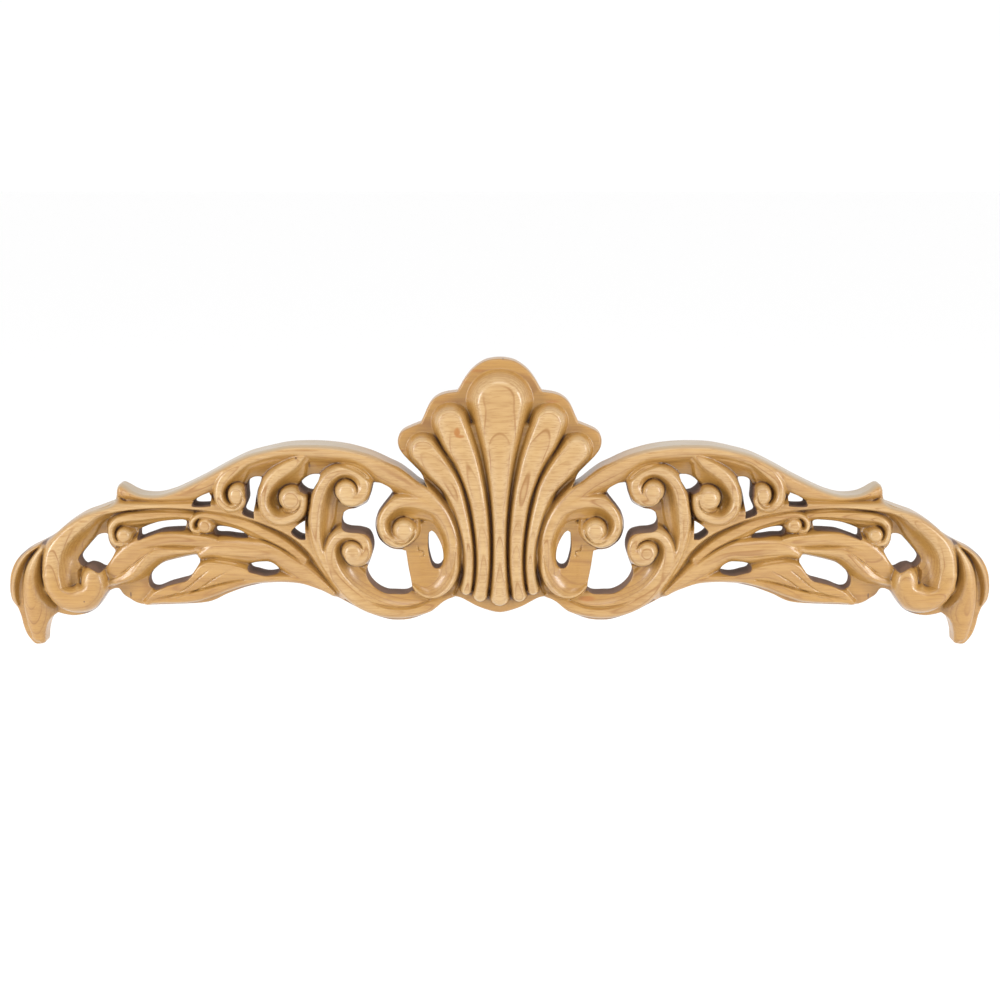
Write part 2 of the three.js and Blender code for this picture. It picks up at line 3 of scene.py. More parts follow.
import bmesh
import bpy
import numpy as np
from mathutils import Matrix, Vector


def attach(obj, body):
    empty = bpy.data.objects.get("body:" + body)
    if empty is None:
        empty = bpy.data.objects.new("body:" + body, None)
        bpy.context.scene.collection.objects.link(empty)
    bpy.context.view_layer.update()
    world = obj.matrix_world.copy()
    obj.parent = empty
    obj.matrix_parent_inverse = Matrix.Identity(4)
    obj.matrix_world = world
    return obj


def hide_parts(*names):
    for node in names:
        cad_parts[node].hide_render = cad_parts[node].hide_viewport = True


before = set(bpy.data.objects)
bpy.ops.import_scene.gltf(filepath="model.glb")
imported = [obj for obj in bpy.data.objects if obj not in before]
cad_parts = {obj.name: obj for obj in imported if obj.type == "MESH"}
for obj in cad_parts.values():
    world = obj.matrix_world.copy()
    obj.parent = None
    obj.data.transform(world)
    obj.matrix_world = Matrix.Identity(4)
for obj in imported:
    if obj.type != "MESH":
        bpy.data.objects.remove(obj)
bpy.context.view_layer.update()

# Driving dimensions, in metres. X runs along the length, Z is up, and the carving faces -Y with its back
# at Y 0.
LENGTH = 0.7                # tip to tip
DEPTH = 0.03                # from the back to the highest point of the carving
FLOOR = 42                  # the lowest carved floor, hundredths of the depth

# The drawing. Positions are in squares of its grid, x to the right and y down, as the carving is seen
# from the front and a little above. Heights are hundredths of the depth.
AXIS_X = 499.7              # the shell's middle line
MID_Y = 500                 # the level of the origin
DRAWN_LENGTH = 979.6
DRAWN_DEPTH = 42
EYE_DISTANCE = 1800         # from the eye to the middle of the carving
LOOK_DOWN = math.radians(11)
SQUARE = LENGTH / DRAWN_LENGTH      # metres

# How finely the surface is worked out, in squares
GRID = 0.5
GRID_LEFT = -492
GRID_LOW = -148
GRID_HIGH = 148
BLEND = 1.0                 # how softly two forms run into each other
SKIRT = 2.0                 # slope of a form's flank below its own edge
FLANK = 7                   # how far a flank is followed past its edge
ARRIS = 1.2                 # rounding of the edges of the pierced holes
OUTER_ARRIS = 2.2           # rounding of the outer edge
TOP_ARRIS = 4.5             # rounding of the top edge of the wings
SANDING = 1                 # grid points that the sanding reaches
EYE_ROUNDING = 3.6          # how flat the top of a scroll's eye is
LINE_STEPS = 6              # points between two rows of a line
RUN_POINTS = 30             # a curling line is followed in runs of this many points,
RUN_STEP = 24               # which start this many points apart
UNDERGROUND = -99.0         # height of a form where it isn't
HALF_TRIANGLES = 88000      # of one half of the surface, once thinned out
AXIS_SNAP = 0.2 * GRID      # points this near the middle line are put on it
TINY = 1e-9                 # keeps a division from being one by nothing


def place(x, y, height):
    """Place on the board, in squares from the origin, of a point at a height that is seen at x, y."""
    z = height * DRAWN_DEPTH / 100
    across = (x - AXIS_X) / EYE_DISTANCE
    rise = (MID_Y - y) / EYE_DISTANCE
    sin_look, cos_look = math.sin(LOOK_DOWN), math.cos(LOOK_DOWN)
    ray = (EYE_DISTANCE * cos_look - z) / (cos_look + rise * sin_look)
    return np.stack([ray * across, EYE_DISTANCE * sin_look + ray * (rise * cos_look - sin_look)], -1)


def root_gap(a, b):
    """Square root of the distance between two rows, which spaces the curve through them."""
    return max(math.hypot(*(b - a)[:2]) ** 0.5, TINY)


def smooth_line(rows, closed=False):
    """Points on a smooth curve through rows of numbers, whose first two are x and y."""
    rows = np.array(rows, float)
    count = len(rows)
    if closed:
        rows = np.vstack([rows[-1], rows, rows[0], rows[1]])
        spans = count
    else:
        rows = np.vstack([2 * rows[0] - rows[1], rows, 2 * rows[-1] - rows[-2]])
        spans = count - 1
    share = (np.arange(LINE_STEPS) / LINE_STEPS)[:, None]
    points = []
    for i in range(spans):
        p0, p1, p2, p3 = rows[i:i + 4]
        d01, d12, d23 = root_gap(p0, p1), root_gap(p1, p2), root_gap(p2, p3)
        leave = ((p1 - p0) / d01 - (p2 - p0) / (d01 + d12) + (p2 - p1) / d12) * d12
        arrive = ((p2 - p1) / d12 - (p3 - p1) / (d12 + d23) + (p3 - p2) / d23) * d12
        s2, s3 = share ** 2, share ** 3
        points.append((2 * s3 - 3 * s2 + 1) * p1 + (s3 - 2 * s2 + share) * leave
                      + (3 * s2 - 2 * s3) * p2 + (s3 - s2) * arrive)
    if not closed:
        points.append(rows[-2:-1])
    return np.vstack(points)


SHARP = True                # marks a row of an outline as a corner


def spots_of(rows):
    """Places on the board of rows of x, y and height of the edge seen there."""
    return place(*np.array([row[:3] for row in rows], float).T)


def outline_points(rows):
    """Closed outline on the board through rows of x, y, height of the edge and, at a corner, SHARP."""
    spots = spots_of(rows)
    corners = [i for i, row in enumerate(rows) if len(row) > 3]
    if not corners:
        return smooth_line(spots, closed=True)
    points = []
    for first, last in zip(corners, corners[1:] + [corners[0] + len(rows)]):
        stretch = [spots[i % len(rows)] for i in range(first, last + 1)]
        points.append(smooth_line(stretch)[:-1])
    return np.vstack(points)


# How a side of a raised form falls, from 0 at its crest to 1 at its edge
BEAD = 0.36                 # share of a hollowed side that is its bead, before the cove
BEAD_DROP = 0.16            # how far it has fallen where the cove begins
CROWN = 0.54                # share of a rib's side that is its flat crown
CROWN_DROP = 0.09           # how far it has fallen at the end of the crown


def fall_in_two(t, first, drop, rest):
    """A side whose first share rounds over by a small drop, and whose rest falls as given."""
    beyond = np.clip((t - first) / (1 - first), 0, 1)
    return np.where(t < first, drop * (t / first) ** 2, drop + (1 - drop) * rest(beyond))


FALLS = {
    "round": lambda t: 1 - np.sqrt(1 - t ** 2.2),
    "full": lambda t: 1 - (1 - t ** 3.2) ** 0.6,
    "soft": lambda t: t * t,
    "cove": lambda t: 1 - (1 - t) ** 2,
    "rib": lambda t: fall_in_two(t, CROWN, CROWN_DROP, lambda s: s ** 1.9),
    "hollow": lambda t: fall_in_two(t, BEAD, BEAD_DROP, lambda s: 1 - (1 - s) ** 2.1),
}


def along(values, at, count):
    """Values spread evenly over a line of count points, read at places on it and turned into squares."""
    values = np.atleast_1d(np.array(values, float)) * DRAWN_DEPTH / 100
    return np.interp(at / (count - 1), np.linspace(0, 1, len(values)), values)


def with_flank(height, inside):
    """Height of a form, whose flank falls steeply past its own edge."""
    return np.where(inside > 0, height, height + SKIRT * inside)


def box_sum(values, reach):
    """Sum over a square of grid points round each one."""
    for axis in (0, 1):
        padding = [(reach + 1, reach) if k == axis else (0, 0) for k in (0, 1)]
        total = np.cumsum(np.pad(values, padding, mode="reflect"), axis)
        ahead = np.take(total, np.arange(2 * reach + 1, total.shape[axis]), axis)
        values = ahead - np.take(total, np.arange(total.shape[axis] - 2 * reach - 1), axis)
    return values


class Relief:
    """The carved surface over a grid on the board's left half, in squares: its height, its height before
    the edges were rounded, and for each grid point how far it lies inside the board, how far from the
    holes and how far from the top edge of the wing."""

    def __init__(self):
        self.xs = np.arange(round(GRID_LEFT / GRID), 1) * GRID
        self.ys = np.arange(round(GRID_LOW / GRID), round(GRID_HIGH / GRID) + 1) * GRID
        self.height = self.filled(FLOOR * DRAWN_DEPTH / 100)
        self.carved = self.height
        self.body = self.filled(-FLANK)
        self.pierced = self.filled(FLANK)
        self.from_top = self.filled(TOP_ARRIS)

    def filled(self, value):
        return np.full((len(self.ys), len(self.xs)), float(value))

    def window(self, low, high):
        """The part of the grid between two corners."""
        columns = slice(*np.searchsorted(self.xs, (low[0], high[0])))
        rows = slice(*np.searchsorted(self.ys, (low[1], high[1])))
        return rows, columns

    def nearest(self, line, reach):
        """Distance to a line, place along it and side of it, for the grid points within reach."""
        window = self.window(line.min(0) - reach, line.max(0) + reach)
        xs, ys = self.xs[window[1]], self.ys[window[0]]
        distance = np.full((len(ys), len(xs)), float(reach))
        place_on = np.zeros_like(distance)
        side = np.zeros_like(distance)
        for i, (a, b) in enumerate(zip(line, line[1:])):
            low, high = np.minimum(a, b) - reach, np.maximum(a, b) + reach
            columns = slice(*np.searchsorted(xs, (low[0], high[0])))
            rows = slice(*np.searchsorted(ys, (low[1], high[1])))
            dx = xs[None, columns] - a[0]
            dy = ys[rows, None] - a[1]
            run = b - a
            share = np.clip((dx * run[0] + dy * run[1]) / max(run @ run, TINY), 0, 1)
            gap = np.hypot(dx - share * run[0], dy - share * run[1])
            closer = gap < distance[rows, columns]
            distance[rows, columns] = np.where(closer, gap, distance[rows, columns])
            place_on[rows, columns] = np.where(closer, i + share, place_on[rows, columns])
            turn = run[0] * dy - run[1] * dx
            side[rows, columns] = np.where(closer, turn, side[rows, columns])
        return window, distance, place_on, side

    def inside(self, points, window):
        """Whether each grid point of the window lies inside a closed outline."""
        xs, ys = self.xs[window[1]], self.ys[window[0]]
        crossings = np.zeros((len(ys), len(xs) + 1), int)
        for a, b in zip(points, np.roll(points, -1, 0)):
            low, high = sorted((a[1], b[1]))
            rows = np.arange(*np.searchsorted(ys, (low, high)))
            if len(rows) == 0:
                continue
            meet = a[0] + (ys[rows] - a[1]) * (b[0] - a[0]) / (b[1] - a[1])
            np.add.at(crossings, (rows, np.searchsorted(xs, meet)), 1)
        return np.cumsum(crossings, axis=1)[:, :-1] % 2 == 1

    def depth_inside(self, points, reach):
        """How far inside a closed outline each grid point lies, up to reach, and negative outside it."""
        line = np.vstack([points, points[:1]])
        window, distance, _, _ = self.nearest(line, reach)
        return window, np.where(self.inside(points, window), distance, -distance)

    def merge(self, window, height):
        """Adds a form to the surface."""
        here = self.height[window]
        near = np.clip(BLEND - np.abs(height - here), 0, None)
        self.height[window] = np.maximum(here, height) + near ** 2 / (4 * BLEND)

    def raised(self, rows, left, right, sides, seen_at=None):
        """One raised form: a line of crests, which falls on its left and on its right to edges of given
        heights. Each row is x, y, width on the left, width on the right, height of the crest. It is
        worked out run by run, so that the end of a curl lies on the cove of its own start."""
        points = smooth_line(rows)
        at = points[:, 4] if seen_at is None else np.full(len(points), seen_at)
        line = place(points[:, 0], points[:, 1], at)
        reach = points[:, 2:4].max() + FLANK
        count = len(points)
        index = np.arange(count)
        form = self.filled(UNDERGROUND)
        for first in range(0, count - 1, RUN_STEP):
            last = min(first + RUN_POINTS, count - 1)
            window, distance, place_on, side = self.nearest(line[first:last + 1], reach)
            past_run = (place_on <= 0) & (first > 0) | (place_on >= last - first) & (last < count - 1)
            place_on += first
            on_left = side > 0
            width = np.where(on_left, np.interp(place_on, index, points[:, 2]),
                             np.interp(place_on, index, points[:, 3]))
            edge = np.where(on_left, along(left, place_on, count), along(right, place_on, count))
            crest = along(points[:, 4], place_on, count)
            share = np.clip(distance / width, 0, 1)
            fall = np.where(on_left, FALLS[sides[0]](share), FALLS[sides[1]](share))
            height = with_flank(crest + (edge - crest) * fall, width - distance)
            height[past_run | (distance >= reach)] = UNDERGROUND
            form[window] = np.maximum(form[window], height)
        window = self.window(line.min(0) - reach, line.max(0) + reach)
        self.merge(window, form[window])

    def eye(self, x, y, wide, high, edge, crown):
        """The rounded eye of a scroll, nearly flat on top."""
        centre = place(x, y, crown)
        size = np.array([wide + FLANK, high + FLANK])
        window = self.window(centre - size, centre + size)
        dx = (self.xs[window[1]] - centre[0])[None, :]
        dy = (self.ys[window[0]] - centre[1])[:, None]
        share = np.hypot(dx / wide, dy / high)
        height = edge + (crown - edge) * (1 - np.clip(share, 0, 1) ** EYE_ROUNDING) ** 0.5
        self.merge(window, with_flank(height * DRAWN_DEPTH / 100, (1 - share) * min(wide, high)))

    def soften(self):
        """Sands the surface, which rounds its valleys and ridges a little."""
        counts = box_sum(np.ones_like(self.height), SANDING)
        for _ in range(2):
            self.height = box_sum(self.height, SANDING) / counts

    def round_edge(self, inside, radius):
        """Rounds the edge of the surface along an outline, given how far inside it each point lies."""
        near = np.clip(1 - inside / radius, 0, 1)
        self.height -= radius * (1 - np.sqrt(1 - near ** 2))

    def groove(self, rows):
        """A crease cut along a line. Each row is x, y, height where it is seen, half width, depth."""
        points = smooth_line(rows)
        line = place(points[:, 0], points[:, 1], points[:, 2])
        window, distance, place_on, _ = self.nearest(line, points[:, 3].max() + GRID)
        index = np.arange(len(points))
        share = np.clip(distance / np.interp(place_on, index, points[:, 3]), 0, 1)
        depth = np.interp(place_on, index, points[:, 4]) * DRAWN_DEPTH / 100
        self.height[window] -= depth * (1 - share ** 2) ** 2

    def plate(self, rows, height):
        """A flat form inside a closed outline. Each row is x, y and, at a corner, SHARP."""
        edge = [[row[0], row[1], height, *row[2:]] for row in rows]
        window, inside = self.depth_inside(outline_points(edge), FLANK)
        level = height * DRAWN_DEPTH / 100
        self.merge(window, np.where(inside <= -FLANK, UNDERGROUND, with_flank(level, inside)))


# Outline of the left half, from the top of the shell round to its foot, and the pierced holes.
# Each row is x, y, height of the edge that is seen there.
OUTLINE_SHELL = [
    [499.7, 356.5, 0], [493, 357, 0], [485, 359, 0], [478, 363, 0], [472, 368, 0], [467, 374, 0],
    [463, 380, 0], [460, 385.5, 0], [457.5, 389.3, 0, SHARP], [452, 390, 0], [446, 391, 0],
    [440, 393, 0], [434, 397, 0], [430, 402, 0], [427, 408, 0], [424.5, 414, 0],
    [421.5, 420.3, 0, SHARP], [416, 422.5, 0], [410, 425, 0], [404, 428.5, 10], [400, 433, 25],
    [398, 438, 45], [397.5, 443, 50], [399, 449, 50], [403, 455, 50], [408, 460.5, 50],
    [415, 467.5, 50], [421, 474, 50], [427.5, 485.6, 45, SHARP],
]
OUTLINE_ARCH = [
    [419, 478.5, 20], [410, 469.5, 0], [400, 462.5, 0], [390, 457.8, 0], [380, 453, 0], [370, 449, 0],
    [350, 443.5, 0], [330, 440.7, 0], [310, 440, 0], [290, 441, 0], [270, 445, 0], [250, 450.5, 0],
    [230, 460, 0], [210, 471, 0], [190, 481, 0], [175, 487.5, 0], [160, 491, 0], [145, 490, 0],
    [137, 487, 0], [130, 483, 0], [125, 481, 0], [121, 483, 10], [118, 488, 30], [116.5, 494, 40],
    [116, 500.5, 30, SHARP],
]
OUTLINE_SHOULDER = [
    [100, 505, 0], [90, 508.5, 0], [80, 514, 0], [70, 521, 0], [60, 530, 0], [50, 536.5, 0],
    [40, 541.5, 0], [33, 545, 0],
]
OUTLINE_END = [
    [27, 549.5, 5], [20, 557, 15], [15, 565, 25], [12, 573, 30], [10.5, 583, 35], [11, 593, 35],
    [13, 600, 35], [18, 608, 40, SHARP], [20, 617, 50], [23, 626, 45], [27, 634, 40], [31, 639.5, 40],
    [36, 643, 35], [41, 643.3, 35], [46, 641.5, 35], [48, 638, 20], [48.5, 630, 20], [50, 621, 30],
    [53, 616, 35], [58, 612.5, 40, SHARP], [65, 615, 45], [73, 616, 45], [82, 615, 45], [90, 612.5, 45],
    [97, 608, 40], [102, 602, 30], [106, 596, 25], [111, 588.5, 30, SHARP],
]
OUTLINE_FOOT = [
    [119, 588, 35], [124, 594, 35], [130, 598, 35], [137, 602, 35], [145, 604.5, 40], [165, 604.5, 40],
    [180, 604, 40], [200, 603, 40], [210, 601.5, 40], [217, 599, 40], [225, 595, 42], [235, 591, 42],
    [245, 587.5, 42], [255, 585, 42], [270, 582.3, 42], [285, 582, 42], [305, 584, 42], [325, 591, 45],
    [340, 599, 45], [360, 609.5, 45], [370, 614, 45], [380, 617.5, 45], [390, 620, 45],
    [400, 620.5, 45], [410, 619.5, 45], [420, 616.5, 45], [430, 611.5, 42], [437, 605.5, 40],
    [443, 600.5, 40], [449, 597.5, 40], [455, 596.5, 40], [461, 597.5, 40], [468, 601, 40],
    [477, 606, 40], [487, 610, 40], [495, 612, 40], [499.7, 612.3, 40],
]

HOLES = [
    # between the end scroll and the first leaf
    [[84, 558, 0], [83, 554, 0], [88, 546, 20], [93, 540, 35], [98, 535, 40], [103, 533.5, 45],
     [107, 534, 45], [108, 541, 50], [111, 547, 50], [116, 551, 50, SHARP], [114, 556, 40],
     [110, 563, 0, SHARP], [107, 565, 0], [99, 561.5, 0], [93, 560.5, 0], [88, 562, 0]],
    # two slots above the first leaf
    [[139, 529, 40, SHARP], [150, 524.5, 45], [160, 520.8, 45], [175, 519, 45], [186, 519.5, 45],
     [188.5, 525.5, 0, SHARP], [175, 526, 0], [165, 527, 0], [157, 529.5, 0], [150, 532, 0],
     [143, 534, 0]],
    [[216, 526.5, 30], [225, 526, 45], [235, 527.5, 45], [243, 530, 40], [251, 534, 10, SHARP],
     [241, 532.5, 0], [230, 531, 0], [218, 529.8, 0]],
    # below the arched band
    [[195.5, 498, 30, SHARP], [203, 494, 45], [210.5, 491, 45, SHARP], [213.5, 502.8, 30, SHARP],
     [205, 501.3, 0], [197, 500.3, 0]],
    # between the two leaves
    [[152, 574, 0], [153, 571, 20], [157, 567, 45], [163, 563, 50], [172, 560, 50], [182, 557.5, 50],
     [192, 555.5, 50], [198, 554.5, 50, SHARP], [201, 561, 40, SHARP], [198, 566, 20], [192, 574, 0],
     [183, 577, 0], [172, 580, 0], [165, 583, 0], [160, 584.5, 0], [155, 583.5, 0], [152.5, 580, 0]],
    [[250, 562.8, 20], [256, 561, 45], [264, 560.5, 45], [272, 561.5, 45], [278, 565, 40],
     [281, 568, 10], [275, 569.3, 0], [268, 569.5, 0], [260, 567.5, 0], [253, 565.3, 0]],
    # between the scrolls under the band
    [[249, 480.5, 20], [252, 477.5, 45], [257, 476, 45], [262, 476.5, 45, SHARP], [261, 482, 45],
     [258, 489, 45], [256, 497, 45], [255.5, 504, 40], [257.5, 513.5, 10, SHARP], [252, 511, 0],
     [246.5, 507.5, 0], [249, 500, 0], [250.5, 495, 0], [250, 488, 0]],
    [[301.5, 482, 10], [306, 477, 45], [312, 474, 45], [321, 473.5, 45, SHARP], [319, 480, 45],
     [316, 485, 45], [312.5, 490.5, 20, SHARP], [308, 487.5, 0]],
    [[294, 527, 10], [299, 523, 45], [305, 520.5, 45, SHARP], [306, 527, 45], [308, 535, 20, SHARP],
     [303, 533, 0]],
    # the large hole before the inner scroll
    [[373.5, 481, 30, SHARP], [380, 482, 50], [387, 485, 50], [391, 488, 50], [392.5, 491, 40],
     [391, 495, 35], [386, 502, 40], [382, 507, 40], [377, 515, 40], [375.5, 525, 40], [377, 533, 40],
     [380, 540, 45], [386, 546, 50], [393, 549.5, 50], [406, 550.5, 50, SHARP], [407.5, 558, 40],
     [409, 568, 40], [411, 577, 40], [413.5, 587, 20, SHARP], [408, 588.3, 0], [396, 588.5, 0],
     [388, 588, 0], [380, 584.5, 0], [373, 578.5, 0], [368.5, 571, 0], [367.5, 566, 0, SHARP],
     [371, 557, 0], [374.5, 546, 0], [374, 537, 0], [370, 529, 0], [362, 526, 0], [350, 524.7, 0],
     [345, 522.5, 0], [343, 518, 0], [343.8, 511.5, 30, SHARP], [348, 509.8, 45], [355, 508.5, 45],
     [362, 505.5, 45], [368, 500, 20], [371.5, 492, 0], [373, 486, 0]],
    # the oval hole in the inner scroll
    [[428.5, 536, 30], [429, 532, 40], [431.5, 530.7, 50], [434, 532, 50], [438, 537.5, 50],
     [442, 546, 45], [443.5, 554, 40], [443, 560, 10], [440, 563, 0], [436, 563.3, 0], [433, 560.5, 0],
     [430.5, 553, 0], [429, 545, 0]],
]

# The shell: five ribs on a scalloped ledge. Rows of the ledge and of the bed under the ribs are x and y,
# rows of a rib are x, y, half width and height of the crest.
LEDGE_HEIGHT = 48
RIB_BED_HEIGHT = 64
RIBS_SEEN_AT = 52           # height of the ribs' feet, where their outline is seen
LEDGE = [
    [499.7, 357.5], [485, 360], [472, 369], [463, 381], [457.5, 391, SHARP], [446, 392.5], [434, 398],
    [427, 409], [421.5, 422, SHARP], [410, 427], [401, 434], [399, 445], [404, 455], [418, 468],
    [432, 485], [446, 500], [458, 525], [464, 545], [464, 565], [460, 585], [455, 596, SHARP],
    [461, 598], [477, 606], [499.7, 612.5], [530, 620, SHARP], [530, 350, SHARP],
]
MIDDLE_RIB = [
    [499.7, 402, 32.5, 97], [499.7, 422, 27, 97], [499.7, 440, 22, 97], [499.7, 458, 17.5, 97],
    [499.7, 478, 13.6, 96], [499.7, 500, 10.6, 95], [499.7, 525, 8.4, 94], [499.7, 550, 8, 93],
    [499.7, 575, 9.2, 92], [499.7, 595, 11, 91],
]
SECOND_RIB = [
    [450.5, 421.5, 18.5, 93], [458, 440, 18, 93], [466.5, 458, 15.2, 93], [473, 478, 12.7, 92],
    [478, 498, 10.8, 92], [481, 518, 9.9, 91], [483, 540, 9, 90], [483.5, 560, 8.5, 89],
    [482.5, 578, 8.3, 88], [480.3, 593, 8.5, 87],
]
THIRD_RIB = [
    [423.5, 449, 16.5, 90], [437, 465, 15.2, 90], [452, 485, 11.5, 90], [459.3, 503, 8.9, 89],
    [465, 524, 7.2, 88], [468.6, 545, 6, 87], [469.3, 565, 5.8, 86], [468, 580, 6, 85],
    [466.5, 588, 6.5, 84],
]
RIB_BED = [
    [442, 470], [454, 446], [472, 426], [499.7, 420], [530, 420], [530, 586], [480, 584], [468, 578],
    [462, 558], [458, 530], [448, 500],
]


def carve_shell(relief):
    relief.plate(LEDGE, LEDGE_HEIGHT)
    relief.plate(RIB_BED, RIB_BED_HEIGHT)
    for rib in (MIDDLE_RIB, SECOND_RIB, THIRD_RIB):
        rows = [[x, y, wide, wide, height] for x, y, wide, height in rib]
        relief.raised(rows, LEDGE_HEIGHT, LEDGE_HEIGHT, ("rib", "rib"), seen_at=RIBS_SEEN_AT)


# The arched band, from its ear at the tip round the ring beside the shell
BAND = [
    [121, 492, 7, 9, 56], [132, 494.5, 7, 8, 64], [150, 498, 5.5, 6.5, 68], [170, 497, 7, 8, 71],
    [190, 490.5, 8, 12, 74], [210, 480.5, 8, 12, 78], [232, 468.5, 8, 8, 81], [255, 458, 8, 8, 83],
    [280, 451.5, 8, 9, 85], [305, 449.5, 8, 12, 86], [330, 450.5, 8, 13, 86], [355, 454.5, 8, 13, 85],
    [380, 464, 9, 19, 84], [400, 475, 10, 19, 82], [415, 486.5, 10, 16, 80], [429, 499.5, 10, 14, 79],
    [441, 514, 10, 12, 79], [449, 530, 10, 10, 79], [453, 546, 9, 9, 78], [454, 560, 8, 11, 75],
    [453.5, 572, 7, 14, 69], [450, 582, 6, 14, 60],
]
UNDER_BAND = [
    [205, 489, 3, 7, 66], [228, 477, 3, 12, 69], [255, 466, 3, 16, 71], [280, 460, 3, 18, 71],
    [305, 458.5, 3, 20, 71], [332, 459.5, 3, 12, 70],
]


def carve_band(relief):
    top = [42, 40, 45, 45, 45, 45, 45, 45, 45, 45, 50, 50, 50, 50]
    below = [45, 50, 60, 64, 66, 66, 64, 60, 60, 58, 55, 53]
    relief.raised(BAND, top, below, ("round", "soft"))
    relief.raised(UNDER_BAND, 60, [50, 48, 50, 50, 50, 52], ("round", "cove"))


# The stem, which runs into the end scroll and its ball, and the leaves that droop at the tip
STEM = [
    [343, 597, 2, 3, 62], [334, 586, 4, 8, 68], [323, 570, 7, 11, 72], [310, 551, 7, 12, 75],
    [292, 535.5, 7, 12, 76], [266, 523.5, 6, 10, 76], [241, 515.5, 6, 7, 76], [211, 510, 6, 6, 76],
    [180, 507.5, 5, 4, 76], [149, 507.5, 4.5, 4, 77], [116, 510, 7, 6, 79], [98, 514.5, 8, 7, 81],
    [82, 522, 17, 8, 84], [69, 531, 21, 9, 86], [58, 541.5, 24, 10, 88], [50.5, 553, 27, 10, 89],
    [47.5, 565, 29, 8.5, 90], [48, 577, 28, 9, 91], [52, 588, 24, 10, 92],
]
BALL = [
    [48, 577, 9, 9, 91], [52, 588, 8.5, 11, 92], [60, 597, 10, 13.5, 94], [71, 601, 12.2, 16, 95],
    [82, 599, 14, 17, 96], [89.5, 591.5, 10, 16, 96], [91.5, 582, 8, 12, 95],
]
TAIL_LEAF = [
    [41, 550, 3, 3, 80], [36, 557, 5, 4, 82], [32, 568, 7, 7, 82], [29.5, 582, 10, 8.5, 81],
    [30, 597, 15, 10, 78], [32, 612, 21, 10, 73], [34.5, 626, 17, 9, 66], [38, 636, 11, 8, 56],
]
OUTER_TAIL_LEAF = [
    [38, 546, 4, 3, 66], [28, 553, 4, 3, 62], [20.5, 562, 5.5, 3, 60], [15.5, 573, 6, 3, 58],
    [13.5, 585, 5, 3, 56], [14.5, 597, 4, 3, 52], [17.5, 605, 2, 2, 48],
]


def carve_end_scroll(relief):
    cove = [55, 50, 50, 50, 50, 50, 50, 50, 52, 52, 46, 48, 50, 54, 58]
    outside = [58, 66, 69, 70, 70, 70, 68, 62, 54, 50, 42, 42, 42, 45, 70]
    relief.raised(STEM, cove, outside, ("hollow", "round"))
    relief.raised(BALL, [66, 66, 62, 60, 60, 56], [50, 45, 45, 45, 45, 50], ("full", "full"))
    relief.eye(92, 586.5, 13, 19.5, 62, 94.5)
    relief.raised(TAIL_LEAF, [64, 58, 52, 48, 46, 42], [50, 50, 50, 45, 40, 38], ("soft", "round"))
    relief.raised(OUTER_TAIL_LEAF, [34, 34, 34, 34, 38], 35, ("soft", "round"))


# Two small volutes that curl under the stem, each at the end of a strand
FAR_VOLUTE = [
    [190, 517.3, 3, 4, 66], [176, 515.8, 4.5, 5, 69], [158, 516.3, 6, 5.5, 71], [140, 518, 7, 6, 73],
    [126, 519, 8, 5, 75], [116, 521.5, 8, 4, 77], [110.5, 528, 7, 4, 78], [110.5, 536.5, 6, 4, 79],
    [114.5, 543.3, 5, 4.5, 79], [121, 545, 5, 4, 77],
]
NEAR_VOLUTE = [
    [303, 560.5, 4, 3, 67], [290, 550.5, 6, 4, 69], [275, 541, 7, 5, 70], [260, 533, 7.5, 5, 71],
    [245, 526.5, 6.5, 5.5, 71], [230, 521.8, 6, 5, 72], [215, 518, 6, 4, 73], [203, 516, 6, 3.5, 74],
    [195, 518.5, 5, 3.5, 74], [191, 524, 5, 3.5, 74], [192.3, 530, 4, 3.5, 73], [198, 532.5, 4, 3, 71],
]


def carve_small_volutes(relief):
    far_cove = [60, 60, 60, 60, 58, 52, 50, 58, 70]
    relief.raised(FAR_VOLUTE, far_cove, [64, 64, 64, 60, 45, 45], ("hollow", "round"))
    relief.eye(122.8, 536.5, 8.2, 8.2, 56, 80)
    near_cove = [62, 62, 62, 62, 60, 60, 56, 52, 52, 56, 66]
    relief.raised(NEAR_VOLUTE, near_cove, [69, 69, 69, 68, 62, 48, 45], ("hollow", "round"))
    relief.eye(204.5, 526.5, 8.3, 8.3, 56, 77)


# Two scrolls that hang from the band, and two that grow from the foot of the wing
FIRST_SCROLL = [
    [250, 461.5, 4, 3, 81], [236, 467.5, 14, 4, 84], [226, 474.5, 18, 6, 85], [219.5, 484, 15, 7, 86],
    [217.8, 494, 12, 6.5, 87], [220.5, 503, 11, 7, 88], [228, 509.3, 10, 5.5, 88],
    [237.5, 508, 8, 5, 89], [243, 501.5, 7, 4.5, 90], [240, 495.5, 3, 3, 86],
]
SECOND_SCROLL = [
    [301, 457, 8, 3, 83], [293, 461.5, 18, 4, 86], [282, 468, 22, 5, 87], [271.5, 477.5, 20, 6.5, 88],
    [264.8, 489, 16, 7.5, 89], [262.5, 501, 12, 7, 90], [266, 512.5, 11, 8, 90],
    [275, 520.3, 10, 8, 90], [287, 520.5, 10, 7.5, 91], [297, 514.5, 9, 7.5, 91],
    [301.5, 505, 8, 6, 92], [300.5, 497.5, 6, 5, 92], [295.5, 496, 3, 3, 88],
]
THIRD_SCROLL = [
    [335, 581, 6, 6, 81], [323, 560, 7, 7, 83], [316, 541, 7, 12, 85], [313, 522, 6.5, 19, 87],
    [314, 506, 6, 20, 88], [318, 491, 6.5, 19, 89], [325.5, 479.5, 7, 16, 90],
    [336, 472.8, 7.5, 13, 90], [347, 471.5, 7.5, 10, 90], [358, 475.3, 8, 10, 90],
    [364.3, 484, 8, 10, 90], [363.5, 494, 7.5, 10, 91], [357, 501.5, 7, 9, 92], [349, 503.5, 6, 8, 93],
    [342.5, 500.5, 5, 6, 93], [341, 496.5, 3, 4, 90],
]
